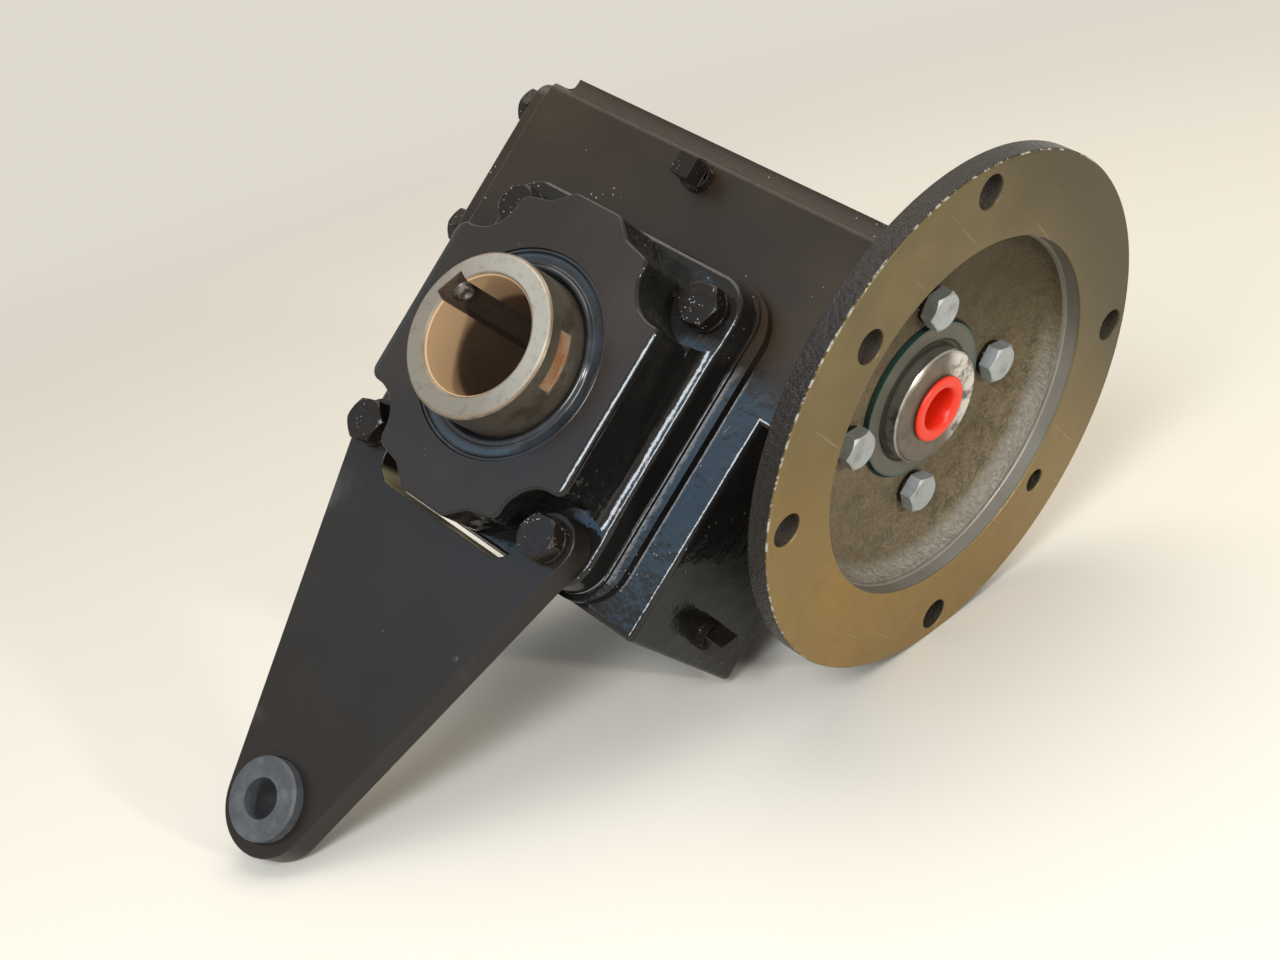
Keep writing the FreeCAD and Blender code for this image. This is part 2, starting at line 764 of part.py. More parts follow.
def boss_roots():
    """Fillets between the flange and the straight sides of the boss, which end at the scallops."""
    radius = size.boss_root
    length = size.cover_bolt_z * 2
    roots = []
    for sign in (-1, 1):
        middle = size.boss_half_width * sign
        wedge = box(
            radius * 2,
            length,
            radius + 1,
            middle - radius,
            -length / 2,
            size.ear_face - 1,
        )
        round_tool = cylinder(
            radius,
            length + 2,
            TO_REAR,
            (size.boss_half_width + radius) * sign,
            -length / 2 - 1,
            size.ear_face + radius,
        )
        scallops = [
            cylinder(size.boss_scallop, radius * 2, x=across, y=up, z=size.ear_face - 2)
            for across, up in bolt_centres()
        ]
        roots.append(cut(wedge, fuse([round_tool] + scallops)))
    return roots


def cover_bore():
    """The stepped bore: bearing pocket, passage and seal pocket."""
    return turned(
        [
            (NOTHING, size.spigot_end - 1),
            (size.cup_radius, size.spigot_end - 1),
            (size.cup_radius, size.cup_end),
            (size.cover_passage_radius, size.cup_end),
            (size.cover_passage_radius, size.seal_seat),
            (size.seal_radius, size.seal_seat),
            (size.seal_radius, size.boss_face + 1),
            (NOTHING, size.boss_face + 1),
        ]
    )


def output_cover(turn):
    tools = [cover_bore()]
    for across, up in corner_signs():
        tools.append(
            cylinder(
                size.bolt_hole_radius,
                size.ear_face,
                x=size.cover_bolt_x * across,
                y=size.cover_bolt_z * up,
                z=size.cover_seat - 1,
            )
        )
    return place(cut(cover_blank(), fuse(tools)), turn)


def cover_gasket(turn):
    sheet_body = round_upright_edges(
        padded(
            rectangle(size.cover_half_width, size.cover_half_height),
            size.flange_face,
            size.gasket_thickness,
        ),
        size.cover_corner,
    )
    tools = [cylinder(size.opening_radius, OVERCUT * 2, z=size.flange_face - 1)]
    for across, up in corner_signs():
        tools.append(
            cylinder(
                size.bolt_hole_radius,
                OVERCUT * 2,
                x=size.cover_bolt_x * across,
                y=size.cover_bolt_z * up,
                z=size.flange_face - 1,
            )
        )
    return place(cut(sheet_body, fuse(tools)), turn)


def output_seal(turn):
    lip = size.output_radius + size.seal_play
    ring = turned(
        [
            (size.seal_radius, size.seal_seat),
            (size.seal_radius, size.seal_face),
            (size.seal_radius - 1.2, size.seal_face),
            (size.seal_radius - 1.8, size.seal_face - 1),
            (lip + 2.4, size.seal_face - 1),
            (lip + 1.7, size.seal_face - 0.2),
            (lip, size.seal_face - 0.2),
            (lip, size.seal_face - 2),
            (lip + 1.5, size.seal_face - 3.2),
            (size.seal_radius - 2, size.seal_face - 3.2),
            (size.seal_radius - 2, size.seal_seat),
        ]
    )
    return place(ring, turn)


# Output bearings


def bearing_cone(turn):
    ring = turned(
        [
            (size.output_radius, size.cone_start),
            (cone_race(size.cone_start) + 0.5, size.cone_start),
            (cone_race(size.cone_start) + 0.5, size.cup_start - 0.3),
            (cone_race(size.cup_start - 0.3), size.cup_start - 0.3),
            (cone_race(size.cone_end - 0.9), size.cone_end - 0.9),
            (cone_race(size.cone_end) + 1.2, size.cone_end - 0.9),
            (cone_race(size.cone_end) + 1.2, size.cone_end),
            (size.output_radius, size.cone_end),
        ]
    )
    return place(ring, turn)


def bearing_cup(turn):
    ring = turned(
        [
            (cup_race(size.cup_start), size.cup_start),
            (size.cup_radius, size.cup_start),
            (size.cup_radius, size.cup_end),
            (cup_race(size.cup_end), size.cup_end),
        ]
    )
    return place(ring, turn)


def roller_cone(play, length, angle):
    """One tapered roller, or with negative play and more length the tool that cuts its window in the cage."""
    taper = math.radians(size.roller_taper.value)
    slope = math.radians(size.roller_slope.value)
    middle = size.roller_pitch_radius.value / math.sin(slope)
    big_end = middle + length / 2
    small_end = middle - length / 2
    solid = Part.makeCone(big_end * math.sin(taper) - play, small_end * math.sin(taper) - play, length)
    solid.rotate(Vector(0, 0, 0), Vector(0, 1, 0), -size.roller_slope.value)
    reach = Vector(big_end * math.sin(slope), 0, apex.value - big_end * math.cos(slope))
    solid.translate(reach)
    solid.rotate(Vector(0, 0, 0), Vector(0, 0, 1), angle)
    return solid


def bearing_rollers(turn):
    count = int(size.roller_count.value)
    rollers = [
        roller_cone(size.rolling_play.value, size.roller_length.value, 360.0 * i / count)
        for i in range(count)
    ]
    thing = doc.addObject("Part::Feature", helper_name("rollers"))
    thing.Shape = Part.makeCompound(rollers)
    return place(thing, turn)


def bearing_cage(turn):
    """A thin conical ring with a window for each roller."""
    start = size.roller_middle - size.roller_length / 2 - 1.2
    end = size.roller_middle + size.roller_length / 2 + 1.2
    middle_start = (apex - start) * tangent(size.roller_slope)
    middle_end = (apex - end) * tangent(size.roller_slope)
    ring = turned(
        [
            (middle_start - 0.6, start),
            (middle_start + 0.6, start),
            (middle_end + 0.6, end),
            (middle_end - 0.6, end),
        ]
    )
    count = int(size.roller_count.value)
    windows = doc.addObject("Part::Feature", helper_name("windows"))
    windows.Shape = Part.makeCompound(
        [roller_cone(-0.15, size.roller_length.value + 0.3, 360.0 * i / count) for i in range(count)]
    )
    return place(cut(ring, windows), turn)


for side, turn in (("front", TO_FRONT), ("rear", TO_REAR)):
    subpart(side + "_output_cover", output_cover(turn))
    subpart(side + "_cover_gasket", cover_gasket(turn))
    subpart(side + "_output_seal", output_seal(turn))
    subpart(side + "_bearing_cup", bearing_cup(turn))
    subpart(side + "_bearing_cone", bearing_cone(turn))
    subpart(side + "_bearing_rollers", bearing_rollers(turn))
    subpart(side + "_bearing_cage", bearing_cage(turn))

# Output shaft and worm gear


def radial_box(angle, width, start, end, low, length):
    """A box that starts at one radius and ends at another in a direction about the output axis."""
    block = doc.addObject("Part::Box", helper_name("box"))
    bind(block, "Length", end - start)
    bind(block, "Width", width)
    bind(block, "Height", length)
    across = cosine(angle) * start + sine(angle) * width / 2
    up = sine(angle) * start - cosine(angle) * width / 2
    turn = Rotation(Vector(0, 0, 1), angle.value)
    place(block, turn, across, up, low)
    return block


def output_shaft():
    chamfer = 1.0
    blank = turned(
        [
            (size.bore_radius + chamfer, -size.output_reach),
            (size.output_radius - chamfer, -size.output_reach),
            (size.output_radius, -size.output_reach + chamfer),
            (size.output_radius, -size.gear_width / 2),
            (size.gear_seat_radius, -size.gear_width / 2),
            (size.gear_seat_radius, size.gear_width / 2),
            (size.output_radius, size.gear_width / 2),
            (size.output_radius, size.output_reach - chamfer),
            (size.output_radius - chamfer, size.output_reach),
            (size.bore_radius + chamfer, size.output_reach),
            (size.bore_radius, size.output_reach - chamfer),
            (size.bore_radius, -size.output_reach + chamfer),
        ]
    )
    keyway = radial_box(
        size.keyway_angle,
        size.keyway_width,
        size.bore_radius - 3,
        size.keyway_floor,
        -size.output_reach - 1,
        size.output_reach * 2 + 2,
    )
    gear_keyway = radial_box(
        size.gear_key_angle,
        size.gear_key_side,
        size.gear_seat_radius - size.gear_key_side / 2,
        size.gear_seat_radius + 2,
        -size.gear_width / 2,
        size.gear_width,
    )
    side_slot = radial_box(
        size.side_slot_angle,
        size.output_radius * 2,
        size.side_slot_floor,
        size.output_radius + 2,
        size.side_slot_near,
        size.side_slot_width,
    )
    return place(cut(blank, fuse([keyway, gear_keyway, side_slot] + screw_holes())), TO_FRONT)


def radial_cylinder(angle, radius, start, end, height):
    turn = Rotation(Vector(0, 0, 1), angle.value) * Rotation(Vector(0, 1, 0), 90)
    return cylinder(radius, end - start, turn, cosine(angle) * start, sine(angle) * start, height)


def screw_holes():
    return [
        radial_cylinder(
            size.keyway_angle,
            size.set_screw_radius,
            size.bore_radius - 3,
            size.output_radius + 1,
            set_screw_reach * end,
        )
        for end in (1, -1)
    ]


def set_screws():
    """A socket set screw over the key at each end of the shaft."""
    screws = []
    for end in (1, -1):
        stem = radial_cylinder(
            size.keyway_angle,
            size.set_screw_radius,
            size.set_screw_tip,
            size.output_radius - 0.9,
            set_screw_reach * end,
        )
        socket_turn = Rotation(Vector(0, 0, 1), size.keyway_angle.value) * Rotation(Vector(0, 1, 0), 90)
        reach = size.output_radius - 2.6
        socket = hexagon(
            size.set_screw_radius,
            OVERCUT * 2,
            socket_turn,
            cosine(size.keyway_angle) * reach,
            sine(size.keyway_angle) * reach,
            set_screw_reach * end,
        )
        screws.append(place(cut(stem, socket), TO_FRONT))
    return group(screws)


def gear_tooth_angles():
    """Half angles of a tooth at the root and the tip, thinned by the play."""
    pitch = 2 * math.pi / size.gear_teeth.value
    play = size.tooth_play.value / gear_pitch_radius.value
    half_at_pitch = pitch / 4 - play / 2
    slope = math.tan(math.radians(size.pressure_angle.value))
    growth = module.value * slope / gear_pitch_radius.value
    return half_at_pitch + growth * (size.tooth_depth_ratio.value - 1), half_at_pitch - growth


def gear_outline(height, twist):
    """The toothed outline at one height, turned by the helix."""
    root = gear_pitch_radius.value - module.value * (size.tooth_depth_ratio.value - 1)
    tip = gear_tip_radius.value
    at_root, at_tip = gear_tooth_angles()
    teeth = int(size.gear_teeth.value)
    points = []
    for i in range(teeth):
        middle = 2 * math.pi * i / teeth + twist
        for radius, offset in ((root, -at_root), (tip, -at_tip), (tip, at_tip), (root, at_root)):
            angle = middle + offset
            points.append(Vector(radius * math.cos(angle), radius * math.sin(angle), height))
    points.append(points[0])
    return Part.makePolygon(points)


def lead():
    return math.pi * 2 * gear_pitch_radius.value / size.gear_teeth.value * size.worm_starts.value


def worm_gear():
    half = size.gear_width.value / 2
    slope = lead() / (2 * math.pi * size.worm_pitch_radius.value)
    twist = half * slope / gear_pitch_radius.value
    middle = math.pi / 2
    outlines = [gear_outline(half * step, middle + twist * step) for step in (-1, 0, 1)]
    blank = Part.makeLoft(outlines, True, True)
    bore = Part.makeCylinder(size.gear_seat_radius.value, 2 * half + 2, Vector(0, 0, -half - 1))
    side = size.gear_key_side.value
    reach = size.gear_seat_radius.value + side / 2
    keyway = Part.makeBox(reach, side, 2 * half + 2, Vector(0, -side / 2, -half - 1))
    keyway.rotate(Vector(0, 0, 0), Vector(0, 0, 1), size.gear_key_angle.value)
    thing = doc.addObject("Part::Feature", helper_name("toothed_wheel"))
    thing.Shape = blank.cut(bore.fuse(keyway))
    return place(thing, TO_FRONT)


def gear_key():
    half = size.gear_key_side / 2
    key = radial_box(
        size.gear_key_angle,
        size.gear_key_side,
        size.gear_seat_radius - half,
        size.gear_seat_radius + half,
        -size.gear_width / 2,
        size.gear_width,
    )
    return place(group([key]), TO_FRONT)


def gear_sleeve(turn):
    ring = turned(
        [
            (size.output_radius, size.gear_width / 2),
            (size.sleeve_radius, size.gear_width / 2),
            (size.sleeve_radius, size.cone_start),
            (size.output_radius, size.cone_start),
        ]
    )
    return place(ring, turn)


subpart("output_shaft", output_shaft())
subpart("bore_set_screws", set_screws())
subpart("worm_gear", worm_gear())
subpart("gear_key", gear_key())
subpart("front_gear_sleeve", gear_sleeve(TO_FRONT))
subpart("rear_gear_sleeve", gear_sleeve(TO_REAR))

# Worm shaft


def worm_length():
    return lead() / size.worm_starts.value * size.worm_pitches.value


def worm_thread(start_angle):
    """One helical thread, as a pipe of its axial section along the pitch helix."""
    pitch = lead()
    starts = size.worm_starts.value
    axial_pitch = pitch / starts
    play = size.tooth_play.value
    root = worm_root_radius.value - 0.4
    tip = worm_tip_radius.value
    slope = math.tan(math.radians(size.pressure_angle.value))
    half_at_pitch = axial_pitch / 4 - play / 2
    half_at_tip = half_at_pitch - (tip - size.worm_pitch_radius.value) * slope
    half_at_root = half_at_pitch + (size.worm_pitch_radius.value - root) * slope
    length = worm_length()
    helix = Part.makeHelix(pitch, length, size.worm_pitch_radius.value)
    section = Part.makePolygon(
        [
            Vector(root, 0, -half_at_root),
            Vector(tip, 0, -half_at_tip),
            Vector(tip, 0, half_at_tip),
            Vector(root, 0, half_at_root),
            Vector(root, 0, -half_at_root),
        ]
    )
    thread = Part.Wire(helix).makePipeShell([section], True, True)
    thread.rotate(Vector(0, 0, 0), Vector(0, 0, 1), start_angle)
    thread.translate(Vector(0, 0, -length / 2))
    return thread


def worm_shaft():
    far = size.block_far - size.end_spigot_length
    shoulder = end_bearing_start
    half = module * size.worm_pitches * math.pi / 2
    seat_start = size.block_end - size.input_bearing_width - 2
    bore_floor = size.quill_end - size.quill_bore_depth
    chamfer = 1.0
    blank = turned(
        [
            (NOTHING, -far),
            (size.end_bearing_bore, -far),
            (size.end_bearing_bore, -shoulder),
            (size.end_bearing_bore + 3, -shoulder),
            (size.end_bearing_bore + 3, -half - 4),
            (worm_root_radius, -half - 2),
            (worm_root_radius, half + 2),
            (size.end_bearing_bore + 4, half + 4),
            (size.end_bearing_bore + 4, half + 12),
            (size.input_bearing_bore, half + 12),
            (size.input_bearing_bore, seat_start + size.input_bearing_width),
            (size.quill_radius, seat_start + size.input_bearing_width),
            (size.quill_radius, size.quill_end - chamfer),
            (size.quill_radius - chamfer, size.quill_end),
            (size.quill_bore_radius, size.quill_end),
            (size.quill_bore_radius, bore_floor),
            (NOTHING, bore_floor - 3),
        ]
    )
    keyway = box(
        size.quill_key_floor,
        size.quill_key_width,
        size.quill_bore_depth,
        NOTHING,
        -size.quill_key_width / 2,
        bore_floor + 1,
    )
    plain = cut(blank, keyway)
    doc.recompute()
    run_out = lead() / size.worm_starts.value / 2
    ends = Part.makeCylinder(
        worm_tip_radius.value + 1,
        worm_length() - 2 * run_out,
        Vector(0, 0, run_out - worm_length() / 2),
    )
    threads = [worm_thread(360.0 * i / size.worm_starts.value) for i in range(int(size.worm_starts.value))]
    worm = plain.Shape
    for thread in threads:
        worm = worm.fuse(thread.common(ends))
    thing = doc.addObject("Part::Feature", helper_name("worm"))
    thing.Shape = worm
    return place(thing, TO_MOTOR, z=size.centre_distance)


def bore_plug():
    inner = size.quill_bore_radius - size.plug_wall
    cup = turned(
        [
            (NOTHING, size.quill_end - size.plug_depth),
            (size.quill_bore_radius, size.quill_end - size.plug_depth),
            (size.quill_bore_radius, size.quill_end),
            (size.plug_rim_radius, size.quill_end),
            (size.plug_rim_radius, size.quill_end + size.plug_rim_thickness),
            (inner, size.quill_end + size.plug_rim_thickness),
            (inner, size.quill_end - size.plug_depth + size.plug_wall),
            (NOTHING, size.quill_end - size.plug_depth + size.plug_wall),
        ]
    )
    return place(cup, TO_MOTOR, z=size.centre_distance)


def race_pair(bore, radius, width, ball_radius, start, turn):
    """The inner and outer ring of a ball bearing, each with its groove."""
    pitch = (bore + radius) / 2
    rise = ball_radius * size.race_ratio
    middle = start + width / 2
    rings = []
    for low, high in ((bore, pitch - rise), (pitch + rise, radius)):
        blank = cut(cylinder(high, width, z=start), cylinder(low, width, z=start))
        section = doc.addObject("Part::Circle", helper_name("section"))
        bind(section, "Radius", ball_radius + size.rolling_play)
        place(section, TO_FRONT, pitch, z=middle)
        groove = doc.addObject("Part::Revolution", helper_name("groove"))
        groove.Source = section
        groove.Axis = Vector(0, 0, 1)
        groove.Angle = 360
        groove.Solid = True
        rings.append(place(cut(blank, groove), turn, z=size.centre_distance))
    return rings


def ball_set(bore, radius, width, ball_radius, count, start, turn):
    """The balls of a bearing, and the ring that spaces them."""
    pitch = (bore + radius) / 2
    middle = start + width / 2
    number = int(count.value)
    balls = []
    for i in range(number):
        ball = Part.makeSphere(ball_radius.value)
        ball.translate(Vector(pitch.value, 0, middle.value))
        ball.rotate(Vector(0, 0, 0), Vector(0, 0, 1), 360.0 * i / number)
        balls.append(ball)
    thing = doc.addObject("Part::Feature", helper_name("balls"))
    thing.Shape = Part.makeCompound(balls)
    place(thing, turn, z=size.centre_distance)
    thin = ball_radius * 0.3
    tall = ball_radius * 1.1
    ring = turned(
        [
            (pitch - thin, middle - tall),
            (pitch + thin, middle - tall),
            (pitch + thin, middle + tall),
            (pitch - thin, middle + tall),
        ]
    )
    pockets = doc.addObject("Part::Feature", helper_name("pockets"))
    tools = []
    for i in range(number):
        tool = Part.makeCylinder(ball_radius.value + 0.12, ball_radius.value * 2, Vector(0, 0, 0), Vector(1, 0, 0))
        tool.translate(Vector(pitch.value - ball_radius.value, 0, middle.value))
        tool.rotate(Vector(0, 0, 0), Vector(0, 0, 1), 360.0 * i / number)
        tools.append(tool)
    pockets.Shape = Part.makeCompound(tools)
    return thing, place(cut(ring, pockets), turn, z=size.centre_distance)


subpart("worm_shaft", worm_shaft())
subpart("bore_plug", bore_plug())
end_bearing = (
    size.end_bearing_bore,
    size.end_bearing_radius,
    size.end_bearing_width,
    size.end_ball_radius,
)
input_bearing = (
    size.input_bearing_bore,
    size.input_bearing_radius,
    size.input_bearing_width,
    size.input_ball_radius,
)
input_bearing_start = size.block_end - size.input_bearing_width - 2
for name, bearing, count, start, turn in (
    ("end_bearing", end_bearing, size.end_ball_count, end_bearing_start, TO_FAR_END),
    ("input_bearing", input_bearing, size.input_ball_count, input_bearing_start, TO_MOTOR),
):
    inner, outer = race_pair(*bearing, start, turn)
    balls, cage = ball_set(*bearing, count, start, turn)
    subpart(name + "_inner_race", inner)
    subpart(name + "_outer_race", outer)
    subpart(name + "_balls", balls)
    subpart(name + "_cage", cage)

# Motor flange


def dish_wall(recess):
    """The cast wall of the dish, hollow like a bowl, from the pilot recess down to the dish's floor."""
    run = size.pilot_radius - 1.2 - size.dish_floor_radius
    fall = recess - 0.4 - size.dish_floor
    corners = []
    for step in range(8):
        angle = math.radians(11.25 * step)
        radius = size.dish_floor_radius + run * math.cos(angle)
        corners.append((radius, size.dish_floor + fall * (1 - math.sin(angle))))
    return corners


def motor_flange():
    rim_back = size.motor_face - size.rim_thickness
    recess = size.motor_face - size.pilot_depth
    passage = size.quill_radius + 2.7
    spigot = size.input_bearing_radius - 0.05
    bearing_face = input_bearing_start + size.input_bearing_width
    blank = turned(
        [
            (passage, bearing_face),
            (spigot, bearing_face),
            (spigot, hub_back),
            (size.hub_radius, hub_back),
            (size.hub_radius + 7, hub_back + 4),
            (size.pilot_radius + 4, rim_back - 3.5),
            (size.pilot_radius + 9, rim_back),
            (size.flange_radius, rim_back),
            (size.flange_radius, size.motor_face - 0.6),
            (size.flange_radius - 0.6, size.motor_face),
            (size.pilot_radius, size.motor_face),
            (size.pilot_radius, recess),
        ]
        + dish_wall(recess)
        + [
            (size.dish_floor_radius, size.dish_floor),
            (size.input_seal_radius, size.dish_floor),
            (size.input_seal_radius, size.input_seal_start),
            (passage, size.input_seal_start),
        ]
    )
    tools = []
    offset = size.motor_bolt_circle / 2 * math.sqrt(0.5)
    for across, up in corner_signs():
        tools.append(
            cylinder(
                size.motor_hole_radius,
                size.rim_thickness + OVERCUT,
                x=offset * up,
                y=offset * across,
                z=rim_back - OVERCUT / 2,
            )
        )
        tools.append(
            cylinder(
                size.small_hole_radius,
                size.flange_bolt_length,
                x=size.flange_bolt_offset * up,
                y=size.flange_bolt_offset * across,
                z=hub_back - 1,
            )
        )
    for radius, sign in ((size.motor_hole_radius, -1), (size.small_side_hole_radius, 1)):
        tools.append(
            cylinder(
                radius,
                size.rim_thickness + 12,
                y=size.side_hole_reach * sign,
                z=rim_back - 11,
            )
        )
    return place(cut(blank, fuse(tools)), TO_MOTOR, z=size.centre_distance)


def flange_gasket():
    blank = turned(
        [
            (size.input_bearing_radius, size.block_end),
            (size.block_half_height, size.block_end),
            (size.block_half_height, hub_back),
            (size.input_bearing_radius, hub_back),
        ]
    )
    lobes = [
        cylinder(
            size.small_bolt_radius * 2.5,
            size.gasket_thickness,
            x=size.flange_bolt_offset * up,
            y=size.flange_bolt_offset * across,
            z=size.block_end,
        )
        for across, up in corner_signs()
    ]
    holes = [
        cylinder(
            size.small_hole_radius,
            OVERCUT * 2,
            x=size.flange_bolt_offset * up,
            y=size.flange_bolt_offset * across,
            z=size.block_end - 1,
        )
        for across, up in corner_signs()
    ]
    inside = cylinder(size.input_bearing_radius, OVERCUT * 2, z=size.block_end - 1)
    return place(cut(fuse([blank] + lobes), fuse(holes + [inside])), TO_MOTOR, z=size.centre_distance)


def input_seal():
    lip = size.quill_radius + size.seal_play
    ring = turned(
        [
            (size.input_seal_radius, size.input_seal_start),
            (size.input_seal_radius, size.input_seal_end),
            (lip + 1.6, size.input_seal_end),
            (lip + 0.9, size.input_seal_end - 0.9),
            (lip, size.input_seal_end - 1.4),
            (lip, size.input_seal_end - 3),
            (lip + 1.4, size.input_seal_end - 4.2),
            (size.input_seal_radius - 1.8, size.input_seal_end - 4.2),
            (size.input_seal_radius - 1.8, size.input_seal_start),
        ]
    )
    return place(ring, TO_MOTOR, z=size.centre_distance)


subpart("motor_flange", motor_flange())
subpart("motor_flange_gasket", flange_gasket())
subpart("input_seal", input_seal())

# End cover of the worm


def end_plate(start, thickness):
    """A plate with round corners, as wide as the worm block."""
    return round_upright_edges(
        padded(rectangle(size.end_cover_half_height, size.case_half_depth), start, thickness),
        size.end_cover_corner,
    )


def end_holes(start, height):
    return [
        cylinder(
            size.small_hole_radius,
            height,
            x=size.flange_bolt_offset * up,
            y=size.flange_bolt_offset * across,
            z=start,
        )
        for across, up in corner_signs()
    ]


def end_cover():
    plate = end_plate(end_cover_back, size.end_cover_thickness)
    round_level_edges(plate, size.end_cover_edge, end_cover_back + size.end_cover_thickness)
    spigot = cylinder(
        size.end_bearing_radius - 0.05,
        size.end_spigot_length + size.gasket_thickness + 1,
        z=size.block_far - size.end_spigot_length,
    )
    hollow = cylinder(
        size.end_bearing_radius - 4,
        size.end_spigot_length + size.gasket_thickness + 2,
        z=size.block_far - size.end_spigot_length - 1,
    )
    blank = cut(fuse([plate, spigot]), hollow)
    holes = fuse(end_holes(size.block_far, size.end_cover_thickness * 2))
    return place(cut(blank, holes), TO_FAR_END, z=size.centre_distance)


def end_cover_gasket():
    plate = end_plate(size.block_far, size.gasket_thickness)
    inside = cylinder(size.end_bearing_radius, OVERCUT * 2, z=size.block_far - 1)
    tools = fuse([inside] + end_holes(size.block_far - 1, OVERCUT * 2))
    return place(cut(plate, tools), TO_FAR_END, z=size.centre_distance)


subpart("worm_end_cover", end_cover())
subpart("worm_end_cover_gasket", end_cover_gasket())

# Bolts, washers and plugs


large_bolt = (size.bolt_radius, size.bolt_flats, size.bolt_head_height)
small_bolt = (size.small_bolt_radius, size.small_bolt_flats, size.small_head_height)
large_washer = (size.bolt_radius, size.lock_washer_radius, size.lock_washer_thickness)
small_washer = (size.small_bolt_radius, size.small_washer_radius, size.small_washer_thickness)


def hex_bolt(kind, length, seat, turn, x=NOTHING, y=NOTHING, z=NOTHING, spin=0):
    """A hexagon bolt whose head sits on a face at a height and whose shank points down."""
    radius, flats, head_height = kind
    prism = hexagon(flats, head_height, Rotation(Vector(0, 0, 1), spin), NOTHING, NOTHING, seat)
    top = seat + head_height
    corner = flats / math.sqrt(3)
    bevel = turned(
        [
            (NOTHING, seat),
            (corner, seat),
            (corner, top - size.bolt_head_bevel),
            (flats / 2 - 0.2, top),
            (NOTHING, top),
        ]
    )
    head = common(prism, bevel)
    shank = cylinder(radius, length, z=seat - length)
    return place(fuse([head, shank]), turn, x, y, z)


def lock_washer(kind, seat, turn, x=NOTHING, y=NOTHING, z=NOTHING):
    inner, outer, thickness = kind
    ring = turned([(inner, seat), (outer, seat), (outer, seat + thickness), (inner, seat + thickness)])
    return place(ring, turn, x, y, z)


cover_seat = size.ear_face + size.lock_washer_thickness
arm_seat = arm_front + size.lock_washer_thickness
cover_bolts = []
arm_bolts = []
washers = []
head_spins = {(1, 1): 8, (-1, 1): 21, (-1, -1): 17, (1, -1): 2}
for across, up in corner_signs():
    x = size.cover_bolt_x * across
    z = size.cover_bolt_z * up
    spin = head_spins[(across, up)]
    cover_bolts.append(hex_bolt(large_bolt, size.short_bolt_length, cover_seat, TO_REAR, x, NOTHING, z, spin))
    washers.append(lock_washer(large_washer, size.ear_face, TO_REAR, x, NOTHING, z))
    if up > 0:
        cover_bolts.append(hex_bolt(large_bolt, size.short_bolt_length, cover_seat, TO_FRONT, x, NOTHING, z, spin))
        washers.append(lock_washer(large_washer, size.ear_face, TO_FRONT, x, NOTHING, z))
    else:
        arm_bolts.append(hex_bolt(large_bolt, size.arm_bolt_length, arm_seat, TO_FRONT, x, NOTHING, z, spin))
        washers.append(lock_washer(large_washer, arm_front, TO_FRONT, x, NOTHING, z))

flange_bolts = []
end_bolts = []
end_seat = end_cover_back + size.end_cover_thickness
for across, up in corner_signs():
    y = size.flange_bolt_offset * across
    z = size.centre_distance + size.flange_bolt_offset * up
    spin = head_spins[(across, up)]
    for bolts, length, seat, turn in (
        (flange_bolts, size.flange_bolt_length, size.dish_floor, TO_MOTOR),
        (end_bolts, size.end_bolt_length, end_seat, TO_FAR_END),
    ):
        washers.append(lock_washer(small_washer, seat, turn, NOTHING, y, z))
        bolts.append(hex_bolt(small_bolt, length, seat + size.small_washer_thickness, turn, NOTHING, y, z, spin))
subpart("cover_bolts", group(cover_bolts))
subpart("torque_arm_bolts", group(arm_bolts))
subpart("lock_washers", group(washers))
subpart("motor_flange_bolts", group(flange_bolts))
subpart("end_cover_bolts", group(end_bolts))


def pipe_plug(wall, thickness, turn, x=NOTHING, y=NOTHING, z=NOTHING, spin=0):
    """A square-headed pipe plug screwed into a wall."""
    stem = cylinder(size.pipe_plug_radius, thickness + size.pipe_plug_collar, z=wall - thickness)
    half = size.pipe_plug_square / 2
    head = box(
        size.pipe_plug_square,
        size.pipe_plug_square,
        size.pipe_plug_head,
        -half,
        -half,
        wall + size.pipe_plug_collar,
    )
    holder = place(fuse([stem, head]), Rotation(Vector(0, 0, 1), spin))
    return place(group([holder]), turn, x, y, z)


wall_front = size.case_half_depth - size.chamber_half_depth
wall_side = size.case_half_width - size.chamber_half_width
level_plug = (size.case_half_depth, wall_front)
drain_plug = (size.case_half_width, wall_side)
plugs = [
    pipe_plug(*level_plug, TO_FRONT, size.level_plug_x, NOTHING, size.level_plug_z),
    pipe_plug(*level_plug, TO_REAR, size.level_plug_x, NOTHING, size.level_plug_z, spin=65),
    pipe_plug(*drain_plug, TO_MOTOR, NOTHING, size.drain_plug_y, -size.drain_plug_z, spin=52),
    pipe_plug(*drain_plug, TO_FAR_END, NOTHING, size.drain_plug_y, -size.drain_plug_z, spin=10),
]
subpart("pipe_plugs", group(plugs))

# Torque arm


